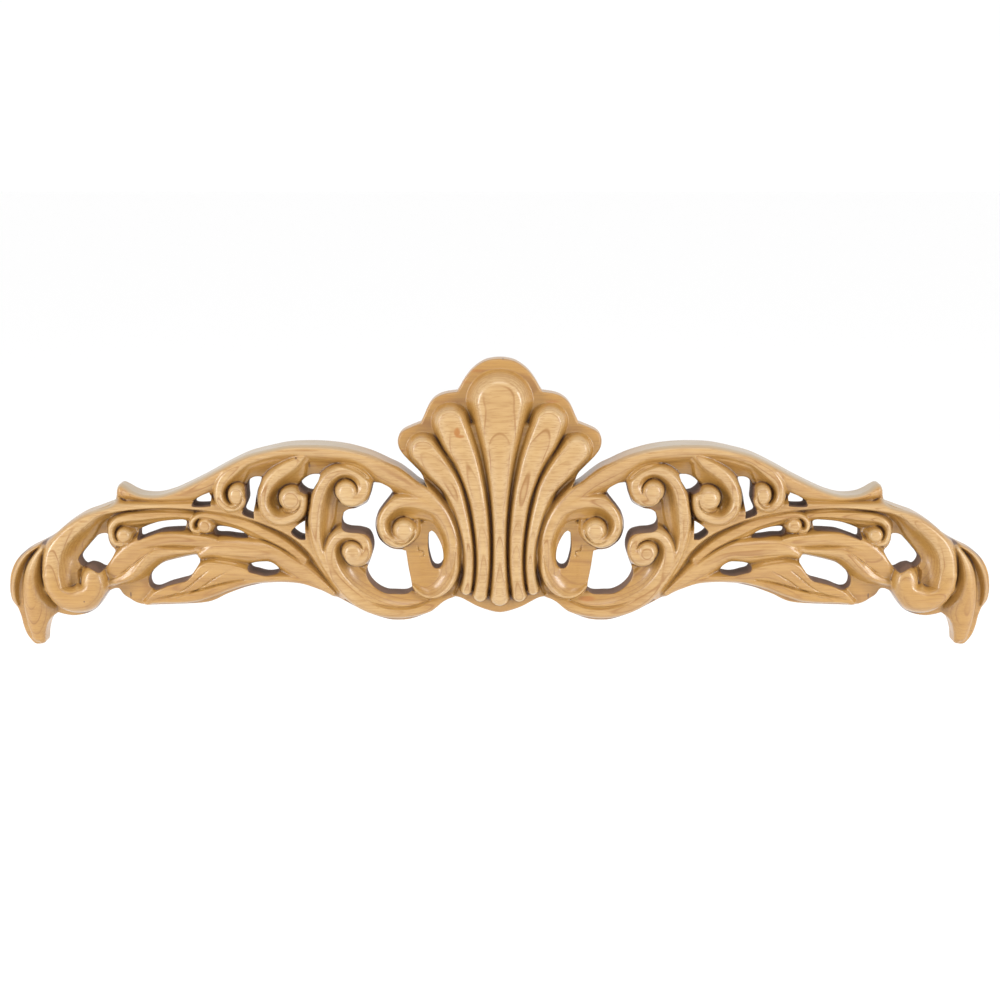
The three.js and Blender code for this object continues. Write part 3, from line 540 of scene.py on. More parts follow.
FOURTH_SCROLL = [
    [450, 595.5, 5, 5, 58], [436, 604, 7, 10, 63], [418, 610.5, 7, 17, 67], [398, 613.3, 7.5, 22, 71],
    [378, 610.5, 8, 24, 74], [360, 602.5, 8.5, 25, 77], [345, 590.5, 8.5, 24, 80],
    [334.5, 576, 9, 22, 83], [328.8, 560, 9, 20, 85], [329.5, 547, 6, 16, 87],
    [335.5, 538.5, 6, 13, 89], [345.5, 534.5, 6.5, 11, 90], [356.5, 536.5, 7, 10, 90],
    [364.8, 543.5, 7.5, 9.5, 91], [366.5, 554, 7, 9, 92], [360, 561.8, 7, 9, 93],
    [352, 562.3, 6, 8, 94], [347, 559, 4, 6, 93], [346.5, 556, 3, 4, 90],
]


def carve_scrolls(relief):
    """Each cove grows shallow as its scroll winds in to the eye."""
    first_cove = [70, 60, 52, 48, 48, 50, 58, 74, 86, 90]
    relief.raised(FIRST_SCROLL, first_cove, 50, ("hollow", "round"))
    relief.eye(235.6, 496.5, 9.6, 11.5, 56, 93)
    second_cove = [72, 62, 54, 50, 48, 50, 54, 62, 74, 86, 90, 92, 93]
    relief.raised(SECOND_SCROLL, second_cove, [60, 50, 50, 50, 50, 50, 50, 50], ("hollow", "round"))
    relief.eye(290, 500.5, 12.8, 12.8, 56, 96)
    third_cove = [76, 72, 60, 52, 50, 52, 56, 60, 70, 76, 82, 86, 90, 93, 94, 95]
    relief.raised(THIRD_SCROLL, 50, third_cove, ("round", "hollow"))
    relief.eye(346, 493, 12.3, 12.3, 56, 97)
    fourth_edge = [45, 45, 45, 45, 45, 45, 50, 60, 60, 55, 50, 50]
    fourth_cove = [54, 54, 54, 54, 54, 54, 54, 54, 54, 56, 62, 70, 77, 82, 87, 91, 94, 95, 95]
    relief.raised(FOURTH_SCROLL, fourth_edge, fourth_cove, ("round", "hollow"))
    relief.eye(352.3, 553.5, 11.9, 11.9, 56, 97)


# The inner scroll beside the shell, with its dished web and the bead under it
INNER_SCROLL = [
    [438, 511, 13, 8, 78], [423, 502.5, 19, 6, 80], [408, 500, 20, 5.5, 82],
    [395.5, 502.8, 18, 6.5, 84], [386.5, 510.8, 15, 6.5, 85], [381.5, 521, 12, 6, 86],
    [382.3, 532, 11, 6, 87], [389, 541.3, 10, 6.5, 88], [399, 545.3, 9, 5.5, 89],
    [408.5, 542, 7, 4, 86], [414.5, 535, 6, 4, 77], [416, 527.5, 4, 4, 66], [415, 522, 2, 3, 55],
]
WEB_HEIGHT = 53
WEB = [
    [404, 547], [412, 535], [420, 525], [430, 521], [441, 528], [449, 545], [456, 570], [455, 588],
    [445, 597], [432, 600], [422, 596], [413, 588], [409, 568],
]
WEB_RIM = [
    [413.5, 586.5, 4, 2.5, 65], [419, 592.5, 8, 3, 69], [427, 596.8, 12, 3, 72],
    [436, 596.3, 15, 3.5, 75], [444.5, 591.5, 18, 4, 78], [451, 583.5, 19, 4.5, 80],
    [454.5, 573, 17, 5, 81], [455.5, 560, 12, 5, 81], [454, 546, 8, 5, 79],
]


def carve_inner_scroll(relief):
    relief.plate(WEB, WEB_HEIGHT)
    cove = [62, 60, 58, 56, 54, 54, 60, 72, 84, 86, 76, 68, 58]
    relief.raised(INNER_SCROLL, cove, [48, 48, 48, 48, 48, 48, 48, 48, 56, 58], ("hollow", "round"))
    relief.eye(403.8, 532.5, 12, 12, 56, 92)
    relief.raised(WEB_RIM, WEB_HEIGHT, 50, ("cove", "round"))


# The leaves between the stem and the foot of the wing
FIRST_LEAF = [
    [108, 578, 5, 7, 60], [113, 566, 7, 11, 66], [122, 555.5, 8, 15, 70], [134, 547, 8, 17, 72],
    [150, 541.5, 8, 11, 73], [170, 539, 7, 8, 73], [190, 539.5, 6, 8, 73], [205, 541, 6, 7, 72],
    [215, 541, 3, 3, 70],
]
FIRST_LEAF_FOLD = [
    [104, 585.5, 2.5, 2.5, 66], [115, 582.5, 3, 4.5, 70], [126, 578, 4, 8, 73], [134, 571, 5, 12, 75],
    [140, 563, 5, 15, 76], [147, 556, 4.5, 16, 76], [157, 552, 3.5, 14, 75], [172, 551, 3, 11, 74],
    [187, 551, 3, 7.5, 73], [199, 551.5, 3, 4, 70],
]
THIRD_LEAF = [
    [147, 601, 2, 4, 56], [155, 594, 3, 8, 62], [166, 588.5, 3, 12, 66], [181, 584.5, 3, 16, 68],
    [193, 577, 3.5, 22, 70], [201, 568.5, 4, 26, 72], [212, 565, 4, 25, 73], [232, 567, 4, 18, 73],
    [250, 574, 4, 9, 72], [268, 578.5, 3, 4, 70], [285, 579, 3, 3, 68], [305, 581, 3, 3, 66],
]
THIRD_LEAF_FOLD = [
    [146, 603, 2, 2, 54], [160, 601.5, 5, 3, 58], [180, 600.5, 6, 4, 61], [197, 598, 7, 5, 63],
    [212, 592.5, 7, 6, 65], [226, 587, 6, 6, 66], [242, 583, 4.5, 5, 66], [260, 581, 3, 3, 65],
    [280, 580.5, 3, 3, 63], [300, 582, 3, 3, 63], [320, 588.5, 3, 3, 63],
]
SECOND_LEAF = [
    [201, 555, 4, 4, 70], [212, 550.5, 8, 8, 74], [230, 550, 9.5, 11, 76], [250, 551.5, 9.5, 12, 76],
    [270, 553.5, 9, 9, 76], [287, 560, 7, 12, 75], [303, 569, 5, 14, 74], [320, 582, 4, 9, 72],
    [333, 593, 3, 5, 68],
]


def carve_leaves(relief):
    relief.raised(FIRST_LEAF, [50, 52, 54, 54, 54], [62, 66, 66, 66, 66], ("round", "soft"))
    relief.raised(FIRST_LEAF_FOLD, [66, 69, 70, 67, 65], [50, 46, 44, 46, 48], ("cove", "soft"))
    third_edge = [46, 52, 58, 62, 63, 62, 60]
    relief.raised(THIRD_LEAF, third_edge, [54, 57, 60, 61, 62, 62, 60], ("round", "soft"))
    relief.raised(THIRD_LEAF_FOLD, [52, 56, 59, 61, 61], 42, ("soft", "round"))
    relief.raised(SECOND_LEAF, [62, 65, 66, 66, 66, 62], [62, 64, 64, 63, 60, 56], ("soft", "soft"))


# Creases cut with a narrow tool. Each row is x, y, height where it is seen, half width, depth.
CREASES = [
    # under the arched band and along the foot of the wing
    [[333, 463.5, 76, 1.5, 1], [345, 465.5, 72, 2.2, 6], [358, 470, 70, 2.4, 8],
     [370, 479.5, 66, 1.8, 5]],
    [[366, 599, 62, 1.5, 1], [377.5, 604, 62, 2.2, 5], [391, 607, 62, 2.4, 6], [405, 607.5, 60, 2.4, 7],
     [418, 605, 58, 2.2, 7], [429, 600.5, 58, 1.6, 4]],
    # round the eyes
    [[345.5, 479, 84, 1.2, 2], [351.5, 481.8, 88, 1.6, 6], [356.2, 487.5, 90, 1.5, 6],
     [356.8, 494, 92, 1, 2]],
    [[348, 541.5, 84, 1.2, 2], [353.5, 541.6, 88, 1.6, 5], [359.5, 544.5, 90, 1.5, 5],
     [362.5, 549.5, 92, 1, 2]],
    [[280.5, 508.5, 74, 1.2, 2], [286.5, 513.3, 84, 1.6, 5], [293.5, 512.8, 88, 1.7, 6],
     [299.3, 507, 90, 1.5, 5], [300.3, 500, 92, 1, 2]],
    [[228.5, 505, 76, 1.2, 2], [234, 508, 84, 1.5, 5], [240, 503.5, 88, 1.4, 4],
     [241.8, 496.5, 90, 1, 2]],
    [[392.5, 539.5, 74, 1.2, 2], [398, 543.5, 82, 1.6, 5], [405.5, 543.7, 86, 1.6, 6],
     [412, 538, 88, 1.6, 6], [414.3, 530, 84, 1.4, 5], [412.5, 523, 74, 1.2, 2]],
    # between the strands of the stem
    [[118, 512.5, 72, 1.2, 1], [132, 512.3, 70, 1.6, 4], [160, 511.5, 70, 1.6, 4],
     [192, 513, 68, 1.4, 2]],
    [[252, 537, 64, 1.2, 2], [265, 541, 62, 1.8, 6], [280, 547.5, 62, 2, 7], [293, 556, 62, 1.8, 6],
     [303, 563.5, 64, 1.2, 2]],
    # below the ear
    [[116.5, 495.5, 50, 1.4, 2], [121, 499, 54, 1.6, 5], [128, 502.5, 60, 1.2, 2]],
    # along the folds of the leaves
    [[123, 573, 74, 1, 1], [133, 565, 75, 1.3, 3], [143, 557.5, 75, 1.3, 3], [154, 549.5, 72, 1, 1]],
    [[168, 597.5, 60, 1, 1], [186, 588.5, 64, 1.3, 3], [199, 578, 68, 1.3, 3], [209, 570, 72, 1, 1]],
    [[176, 598.5, 58, 1, 1], [197, 590, 62, 1.3, 3], [215, 578, 66, 1.3, 3], [228, 571.5, 70, 1, 1]],
    [[222, 556, 72, 1, 1], [240, 557, 72, 1.3, 3], [256, 558.5, 70, 1, 1]],
    [[140, 549, 66, 1.2, 1], [152, 547, 64, 1.6, 3], [170, 546.5, 62, 1.8, 3.5],
     [188, 547.3, 62, 1.6, 3], [203, 546, 62, 1.2, 1]],
    [[205, 560.5, 60, 1.2, 2], [220, 561.3, 60, 1.6, 4], [236, 564, 60, 1.6, 4],
     [250, 568.5, 60, 1.2, 1]],
    [[152, 599.5, 50, 1.2, 1], [175, 594.5, 54, 1.8, 5], [200, 589.5, 56, 1.8, 6],
     [222, 583.5, 58, 1.6, 5], [244, 579.8, 60, 1.2, 2]],
    # small cuts where the web joins the inner scroll
    [[417.5, 546, 56, 1.2, 2], [419, 550.5, 54, 1.4, 4], [423, 551.8, 54, 1.3, 3],
     [423.3, 556, 54, 1.2, 3], [420, 557.5, 54, 1, 1.5]],
]


def fill_pinholes(body):
    """Closes the single grid points that are left open past the end of a notch thinner than the grid."""
    inside = body > 0
    enclosed = inside[:-2, 1:-1] & inside[2:, 1:-1] & inside[1:-1, :-2] & inside[1:-1, 2:]
    middle = body[1:-1, 1:-1]
    middle[enclosed & (middle <= 0)] = GRID


def carve_forms(relief):
    """The forms, which run into the ones before them, then the sanding and the creases."""
    carve_shell(relief)
    carve_band(relief)
    carve_end_scroll(relief)
    carve_small_volutes(relief)
    carve_scrolls(relief)
    carve_inner_scroll(relief)
    carve_leaves(relief)
    relief.soften()
    for crease in CREASES:
        relief.groove(crease)
    relief.carved = relief.height.copy()


def cut_outline(relief):
    """Finds how far each grid point lies from the outline and the holes, and rounds their edges."""
    top_edge = OUTLINE_ARCH + OUTLINE_SHOULDER
    half = OUTLINE_SHELL + top_edge + OUTLINE_END + OUTLINE_FOOT
    mirrored = [[2 * AXIS_X - row[0], *row[1:]] for row in reversed(half[1:-1])]
    window, inside = relief.depth_inside(outline_points(half + mirrored), FLANK)
    relief.body[window] = inside
    relief.round_edge(relief.body, OUTER_ARRIS)
    window, distance, _, _ = relief.nearest(smooth_line(spots_of(top_edge)), TOP_ARRIS)
    relief.from_top[window] = distance
    relief.round_edge(relief.from_top, TOP_ARRIS)
    for hole in HOLES:
        window, inside = relief.depth_inside(outline_points(hole), FLANK)
        relief.pierced[window] = np.minimum(relief.pierced[window], -inside)
    relief.round_edge(relief.pierced, ARRIS)
    relief.body = np.minimum(relief.body, relief.pierced)
    fill_pinholes(relief.body)


WHOLLY_INSIDE = 15          # pattern of a grid cell whose four corners are all inside


def cell_polygons():
    """For each pattern of inside corners of a grid cell, its polygon. Corners 0 to 3 go round the cell,
    and 4 to 7 are the points where the outline crosses the edge after that corner."""
    polygons = []
    for pattern in range(WHOLLY_INSIDE + 1):
        polygon = []
        for corner in range(4):
            after = (corner + 1) % 4
            here, there = pattern >> corner & 1, pattern >> after & 1
            if here:
                polygon.append(corner)
            if here != there:
                polygon.append(4 + corner)
        polygons.append(polygon)
    return polygons


def cell_corners(grid):
    """Values of a grid at the four corners of each cell, going round it."""
    return [grid[:-1, :-1], grid[:-1, 1:], grid[1:, 1:], grid[1:, :-1]]


def halved(quads, height):
    """Two triangles for each cell, split along its flatter diagonal."""
    z = height[quads]
    flatter = np.abs(z[:, 0] - z[:, 2]) < np.abs(z[:, 1] - z[:, 3])
    return np.vstack([quads[flatter][:, [0, 1, 2]], quads[flatter][:, [0, 2, 3]],
                      quads[~flatter][:, [0, 1, 3]], quads[~flatter][:, [1, 2, 3]]])


def cut_cells(grid, corners, pattern):
    """Triangles of the cells that the outline crosses, the pairs of points along the outline there, and
    the points where it crosses the edges of the cells. Each row of the grid ends in how far inside the
    board it lies."""
    polygons = cell_polygons()
    triangles, rim, crossings = [], [], []
    number_of = {}

    def crossing(a, b):
        key = (min(a, b), max(a, b))
        if key not in number_of:
            first, second = grid[key[0]], grid[key[1]]
            share = first[-1] / (first[-1] - second[-1])
            number_of[key] = len(grid) + len(crossings)
            crossings.append(first + (second - first) * share)
        return number_of[key]

    for j, i in zip(*np.nonzero((pattern > 0) & (pattern < WHOLLY_INSIDE))):
        cell = [corner[j, i] for corner in corners]
        polygon = polygons[pattern[j, i]]
        ids = [cell[k] if k < 4 else crossing(cell[k - 4], cell[(k - 3) % 4]) for k in polygon]
        triangles += [(ids[0], ids[k], ids[k + 1]) for k in range(1, len(ids) - 1)]
        for k, kind in enumerate(polygon):
            after = (k + 1) % len(polygon)
            if kind >= 4 and polygon[after] >= 4:
                rim.append((ids[k], ids[after]))
    return np.array(triangles), np.array(rim), np.array(crossings)


def with_walls(points, triangles, rim):
    """Adds straight walls from the rim down to the back."""
    rim_corners = np.unique(rim)
    foot_of = np.zeros(len(points), int)
    foot_of[rim_corners] = len(points) + np.arange(len(rim_corners))
    feet = points[rim_corners] * [1, 0, 1]
    a, b = rim[:, 0], rim[:, 1]
    walls = [np.stack([a, foot_of[a], foot_of[b]], -1), np.stack([a, foot_of[b], b], -1)]
    return np.vstack([points, feet]), np.vstack([triangles, *walls])


def surface_mesh(relief):
    """Corners, in metres, and triangles of the left half: the carved surface and its walls."""
    across, up = np.meshgrid(relief.xs, relief.ys)
    grid = np.stack([across, relief.height, up, relief.body], -1).reshape(-1, 4)
    corners = cell_corners(np.arange(len(grid)).reshape(relief.body.shape))
    flags = cell_corners(relief.body > 0)
    pattern = sum(flag.astype(int) << i for i, flag in enumerate(flags))
    whole = pattern == WHOLLY_INSIDE
    triangles = halved(np.stack([corner[whole] for corner in corners], -1), relief.height.ravel())
    more, rim, crossings = cut_cells(grid, corners, pattern)
    points = np.vstack([grid, crossings])[:, :3]
    points, triangles = with_walls(points, np.vstack([triangles, more]), rim)
    used, triangles = np.unique(triangles, return_inverse=True)
    return points[used] * [1, -1, 1] * SQUARE, triangles.reshape(-1, 3)


def new_object(name, points, triangles):
    mesh = bpy.data.meshes.new(name)
    mesh.from_pydata(points.tolist(), [], triangles.tolist())
    mesh.validate()
    piece = bpy.data.objects.new(name, mesh)
    bpy.context.scene.collection.objects.link(piece)
    return piece


def corners_of(mesh):
    points = np.zeros(len(mesh.vertices) * 3)
    mesh.vertices.foreach_get("co", points)
    return points.reshape(-1, 3)


def thinned(points, triangles, count):
    """The same surface with fewer triangles, most of them where it bends."""
    piece = new_object("thinning", points, triangles)
    thin = piece.modifiers.new("thin", "DECIMATE")
    thin.ratio = count / len(triangles)
    mesh = bpy.data.meshes.new_from_object(piece.evaluated_get(bpy.context.evaluated_depsgraph_get()))
    bpy.data.objects.remove(piece)
    mesh.calc_loop_triangles()
    points = corners_of(mesh)
    triangles = np.zeros(len(mesh.loop_triangles) * 3, int)
    mesh.loop_triangles.foreach_get("vertices", triangles)
    bpy.data.meshes.remove(mesh)
    return points, triangles.reshape(-1, 3)


def both_halves(points, triangles):
    """Adds the mirror image, joined at the middle line."""
    on_axis = np.abs(points[:, 0]) < AXIS_SNAP * SQUARE
    points[on_axis, 0] = 0
    twin_of = np.arange(len(points))
    twin_of[~on_axis] = len(points) + np.arange((~on_axis).sum())
    points = np.vstack([points, points[~on_axis] * [-1, 1, 1]])
    return points, np.vstack([triangles, twin_of[triangles][:, ::-1]])


def edit_mesh(piece, change):
    work = bmesh.new()
    work.from_mesh(piece.data)
    change(work)
    work.to_mesh(piece.data)
    work.free()


def close_back(work):
    """Closes the flat back inside the rim of the walls."""
    rim = [edge for edge in work.edges if edge.is_boundary]
    for edge in rim:
        for corner in edge.verts:
            corner.co.y = 0
    filled = bmesh.ops.triangle_fill(work, use_beauty=True, edges=rim)
    faces = [item for item in filled["geom"] if isinstance(item, bmesh.types.BMFace)]
    for face in faces:
        face.normal_update()
        if face.normal.y < 0:
            face.normal_flip()


# What the finish needs to know at each vertex. Reaches and depths are in squares.
GROOVE_REACH = 3.5
GROOVE_DEPTH = 3.0
HOLLOW_REACH = 14
HOLLOW_DEPTH = 9
SAWN_REACH = 1.2
ON_BACK = {"groove": 0.0, "hollow": 0.0, "lift": 0.5}
WALL_LEAN = 0.02            # a wall's normal leans less than this towards the front
SHARP_EDGE = math.radians(50)


def sunk(relief, squares, depth):
    """How far each grid point lies below the board around it, as a share of a depth from -1 to 1."""
    reach = round(squares / GRID / 2)
    weight = (relief.body > 0).astype(float)
    total = relief.carved * weight
    for _ in range(2):
        total, weight = box_sum(total, reach), box_sum(weight, reach)
    return np.clip((total / np.maximum(weight, TINY) - relief.carved) / depth, -1, 1)


def read_grid(relief, values, points):
    """Values of a grid at points of the mesh, on either half."""
    x = (-np.abs(points[:, 0]) / SQUARE - relief.xs[0]) / GRID
    y = (points[:, 2] / SQUARE - relief.ys[0]) / GRID
    i = np.clip(x.astype(int), 0, len(relief.xs) - 2)
    j = np.clip(y.astype(int), 0, len(relief.ys) - 2)
    u, v = x - i, y - j
    lower = values[j, i] * (1 - u) + values[j, i + 1] * u
    upper = values[j + 1, i] * (1 - u) + values[j + 1, i + 1] * u
    return lower * (1 - v) + upper * v


def add_shade_values(piece, relief):
    """Stores on each vertex how deep it lies in a groove and in a hollow, its height, whether a hole was
    sawn there, and how near it is to the top edge of a wing. The flat back has no grooves."""
    points = corners_of(piece.data)
    grids = {
        "groove": sunk(relief, GROOVE_REACH, GROOVE_DEPTH),
        "hollow": sunk(relief, HOLLOW_REACH, HOLLOW_DEPTH),
        "lift": relief.height / DRAWN_DEPTH,
        "sawn": np.clip(1 - np.abs(relief.pierced) / SAWN_REACH, 0, 1),
        "top_edge": 1 - relief.from_top / TOP_ARRIS,
    }
    on_back = points[:, 1] > -GRID * SQUARE
    for name, grid in grids.items():
        values = read_grid(relief, grid, points)
        values = np.where(on_back, ON_BACK.get(name, values), values)
        attribute = piece.data.attributes.new(name, "FLOAT", "POINT")
        attribute.data.foreach_set("value", values.astype(np.float32))


def sharpen_walls(work):
    """Makes the edges sharp where a straight wall meets the carved surface."""
    for edge in work.edges:
        upright = [abs(face.normal.y) < WALL_LEAN for face in edge.link_faces]
        if any(upright) and not all(upright):
            edge.smooth = False


def make_carving():
    relief = Relief()
    carve_forms(relief)
    cut_outline(relief)
    points, triangles = surface_mesh(relief)
    points, triangles = thinned(points, triangles, HALF_TRIANGLES)
    piece = new_object("carving", *both_halves(points, triangles))
    edit_mesh(piece, close_back)
    piece.data.shade_smooth()
    piece.data.set_sharp_from_angle(angle=SHARP_EDGE)
    edit_mesh(piece, sharpen_walls)
    add_shade_values(piece, relief)
    return piece


# Finish: light maple under a thin clear coat, with painted shade in the grooves, and bare wood on the
# sawn walls
# pale: the wood's own pale tone with painted sheen on the proud parts; golden: its own golden tone,
# deepened by painted shade in the hollows
PALE_WOOD = (0.43, 0.285, 0.128)
GOLDEN_WOOD = (0.34, 0.18, 0.038)
# painted shade in the grooves; also the colour of the dark marks
SHADE_AND_MARK_BROWN = (0.085, 0.033, 0.009)
STAIN_ORANGE = (0.29, 0.112, 0.015)
RING_BROWN = (0.235, 0.105, 0.02)
# bare sawn wood, darkened further by painted shade inside the holes
BARE_AND_SHADED_WOOD = (0.15, 0.08, 0.047)
# painted sheen on the up-facing top edges of the wings
TOP_SHEEN_PALE = (0.325, 0.238, 0.14)
# painted highlight along ridges and edges
EDGE_HIGHLIGHT_PALE = (0.50, 0.36, 0.185)
RING_STRENGTH = 0.9
RING_SPACING = 0.0020       # metres of depth between two growth rings
RING_WANDER = 0.011         # how far the rings rise and fall
RING_WAVES = (7, 5, 16)     # per metre, as all waves below
RING_TILT = 0.06
RING_PATCHES = (25, 40, 60)
MARK_DEPTH = 0.006          # how deep a mark goes, in metres
MARK_WAVES = (350, 350, 350)
MARK_RAGGEDNESS = 1.2
COAT = 0.5
COAT_ROUGHNESS = 0.2
GLOSSIEST = 0.38            # roughness of the wood itself
DULLEST = 0.5
SAWN_DULLER = 0.4
FINISH_PATCHES = (40, 60, 60)
FIBRE_WAVES = (60, 1200, 1200)
RIPPLE_WAVES = (120, 120, 120)
RIPPLE_HEIGHT = 6.0         # times that of the fibres
BUMP_HEIGHT = 0.00006
BUMP_STRENGTH = 0.35

# Where a colour begins and is full: in metres from the middle of the board, then in shade values
# the first three make the wood less pale low on the outer wings
LESS_PALE_OUTWARD = (0.10, 0.22)
LESS_PALE_DOWN = (-0.06, -0.035)
LESS_PALE_MOST = 0.85
TOP_SHEEN_BEGINS = (0.075, 0.12)
TOP_SHEEN_ENDS = (0.26, 0.32)
PROUD = (0.5, 0.95)
IN_HOLLOW = (-0.5, 0.5)
ON_EDGE = (-0.9, -0.2)
EDGE_HIGHLIGHT_MOST = 0.45
IN_GROOVE = (0.4, 1.0)
FACING_FRONT = (0.1, 0.3)
FACING_UP = (0.0, 0.7)
AT_SAWN_WALL = (0.2, 0.6)
AT_TOP_EDGE = (0.1, 1.0)

# Figure of the wood, which darkens it. Each is waves per metre along, into and up the board, how
# detailed they are, the wave heights where the dark begins and is full, and its strength.
FIGURE = [
    ((14, 30, 26), 3.0, 0.35, 0.75, 0.2),         # blotches
    ((45, 900, 900), 3.0, 0.42, 0.72, 0.5),       # fibres
    ((16, 260, 260), 2.0, 0.45, 0.75, 0.3),       # streaks
    ((120, 1500, 1500), 1.0, 0.64, 0.76, 0.5),    # flecks
]

# Marks in the wood. Each is x, y and height where it is seen, half width, half height, strength.
STAINS = [
    (457, 432, 93, 3.2, 4.8, 1.0), (460, 436.5, 93, 4.5, 1.8, 0.9),
    (587, 598.5, 56, 9, 2.6, 1.0), (476, 370.5, 48, 8, 1.6, 0.6),
    (467, 382, 48, 5, 1.4, 0.5), (552, 401.5, 48, 7, 1.5, 0.7), (546, 405, 48, 3, 1.5, 0.6),
    (404, 450.5, 48, 5, 1.4, 0.5),
]
DARK_MARKS = [
    (503, 358.5, 46, 1.2, 0.8, 1.0), (296.5, 457.5, 72, 1.5, 1.1, 1.0), (309, 465.5, 66, 1.1, 4.2, 0.7),
    (84, 602, 98, 0.9, 0.9, 0.9), (130.5, 595, 46, 0.9, 3.4, 0.8), (868.5, 596, 46, 0.9, 3.2, 0.8),
    (402, 451, 48, 2.4, 0.6, 0.6),
]


def add_node(tree, kind, inputs=None, **settings):
    node = tree.nodes.new(kind)
    for name, value in settings.items():
        setattr(node, name, value)
    for name, value in (inputs or {}).items():
        if isinstance(value, bpy.types.NodeSocket):
            tree.links.new(value, node.inputs[name])
        else:
            node.inputs[name].default_value = value
    return node


def math_of(tree, operation, *values):
    return add_node(tree, "ShaderNodeMath", dict(enumerate(values)), operation=operation).outputs[0]


def ramp_of(tree, value, low, high, to_low=0.0, to_high=1.0):
    """Turns a value from low to high into one from to_low to to_high, smoothly, and stops it there."""
    inputs = {"Value": value, "From Min": low, "From Max": high, "To Min": to_low, "To Max": to_high}
    node = add_node(tree, "ShaderNodeMapRange", inputs, interpolation_type="SMOOTHSTEP")
    return node.outputs["Result"]


def mix_of(tree, factor, first, second):
    """Mixes two colours, each a socket or red, green and blue."""
    inputs = {0: factor}
    for index, value in ((6, first), (7, second)):
        inputs[index] = value if isinstance(value, bpy.types.NodeSocket) else (*value, 1)
    return add_node(tree, "ShaderNodeMix", inputs, data_type="RGBA").outputs[2]


def noise_of(tree, spot, waves, detail=2.0):
    """Noise with so many waves per metre along X, Y and Z."""
    scaled = add_node(tree, "ShaderNodeVectorMath", {0: spot, 1: waves}, operation="MULTIPLY")
    inputs = {"Vector": scaled.outputs[0], "Scale": 1.0, "Detail": detail}
    return add_node(tree, "ShaderNodeTexNoise", inputs).outputs["Fac"]


def value_on(tree, name):
    return add_node(tree, "ShaderNodeAttribute", attribute_name=name).outputs["Fac"]


def axes_of(tree, vector):
    return add_node(tree, "ShaderNodeSeparateXYZ", {0: vector}).outputs


def ring_lines(tree, spot):
    """Thin dark lines where the growth rings, nearly flat in the board, meet the carved surface."""
    axes = axes_of(tree, spot)
    depth = math_of(tree, "MULTIPLY_ADD", noise_of(tree, spot, RING_WAVES, 1.5), RING_WANDER, axes["Y"])
    depth = math_of(tree, "MULTIPLY_ADD", axes["Z"], RING_TILT, depth)
    phase = math_of(tree, "FRACT", math_of(tree, "DIVIDE", depth, RING_SPACING))
    off_line = math_of(tree, "ABSOLUTE", math_of(tree, "SUBTRACT", phase, 0.5))
    line = ramp_of(tree, off_line, 0.0, 0.12, 0.8, 0.0)
    late_wood = ramp_of(tree, phase, 0.0, 0.5, 0.0, 0.25)
    early_wood = ramp_of(tree, phase, 0.5, 0.6, 1.0, 0.0)
    strength = ramp_of(tree, noise_of(tree, spot, RING_PATCHES), 0.3, 0.62, 0.0, RING_STRENGTH)
    rings = math_of(tree, "MULTIPLY_ADD", late_wood, early_wood, line)
    return math_of(tree, "MULTIPLY", strength, rings)


def mark_on(tree, spot, x, y, height, wide, high, strength):
    """A ragged mark in the wood, seen at x, y and a height."""
    centre_x, centre_z = place(x, y, height) * SQUARE
    centre_y = -height / 100 * DEPTH
    axes = axes_of(tree, spot)
    sizes = (("X", centre_x, wide * SQUARE), ("Y", centre_y, MARK_DEPTH), ("Z", centre_z, high * SQUARE))
    total = math_of(tree, "MULTIPLY", noise_of(tree, spot, MARK_WAVES), MARK_RAGGEDNESS)
    for axis, centre, size in sizes:
        off = math_of(tree, "DIVIDE", math_of(tree, "SUBTRACT", axes[axis], centre), size)
        total = math_of(tree, "MULTIPLY_ADD", off, off, total)
    return ramp_of(tree, total, 0.8, 2.0, strength, 0.0)


def pale_tone_and_sheen(tree, spot):
    """Full on the proud parts and in the light, as the wood's own pale tone with painted sheen, and less
    in the hollows, as painted shade, and low on the outer wings.
    """
    proud = ramp_of(tree, value_on(tree, "lift"), *PROUD)
    open_to_light = ramp_of(tree, value_on(tree, "hollow"), *IN_HOLLOW, 1.0, 0.0)
    axes = axes_of(tree, spot)
    outward = ramp_of(tree, math_of(tree, "ABSOLUTE", axes["X"]), *LESS_PALE_OUTWARD)
    low_down = ramp_of(tree, axes["Z"], *LESS_PALE_DOWN, LESS_PALE_MOST, 0.0)
    remains = math_of(tree, "SUBTRACT", 1.0, math_of(tree, "MULTIPLY", outward, low_down))
    return math_of(tree, "MULTIPLY", math_of(tree, "MULTIPLY", proud, open_to_light), remains)


def wood_colour(tree, spot):
    """Golden to pale wood, with painted sheen in the pale and painted shade in the golden, and with its
    figure, rings and marks.
    """
    colour = mix_of(tree, pale_tone_and_sheen(tree, spot), GOLDEN_WOOD, PALE_WOOD)
    for waves, detail, begins, full, strength in FIGURE:
        dark = ramp_of(tree, noise_of(tree, spot, waves, detail), begins, full, 0.0, strength)
        colour = mix_of(tree, dark, colour, RING_BROWN)
    colour = mix_of(tree, ring_lines(tree, spot), colour, RING_BROWN)
    for marks, tint in ((STAINS, STAIN_ORANGE), (DARK_MARKS, SHADE_AND_MARK_BROWN)):
        for mark in marks:
            colour = mix_of(tree, mark_on(tree, spot, *mark), colour, tint)
    return colour


def top_sheen(tree, spot, up):
    """Painted sheen: full on the top edge of each wing where it faces up, and nothing near the shell and
    the tip.
    """
    from_middle = math_of(tree, "ABSOLUTE", axes_of(tree, spot)["X"])
    wing = math_of(tree, "MULTIPLY", ramp_of(tree, from_middle, *TOP_SHEEN_BEGINS),
                   ramp_of(tree, from_middle, *TOP_SHEEN_ENDS, 1.0, 0.0))
    edge = math_of(tree, "MULTIPLY", ramp_of(tree, value_on(tree, "top_edge"), *AT_TOP_EDGE), wing)
    return math_of(tree, "MULTIPLY", edge, ramp_of(tree, up, *FACING_UP))


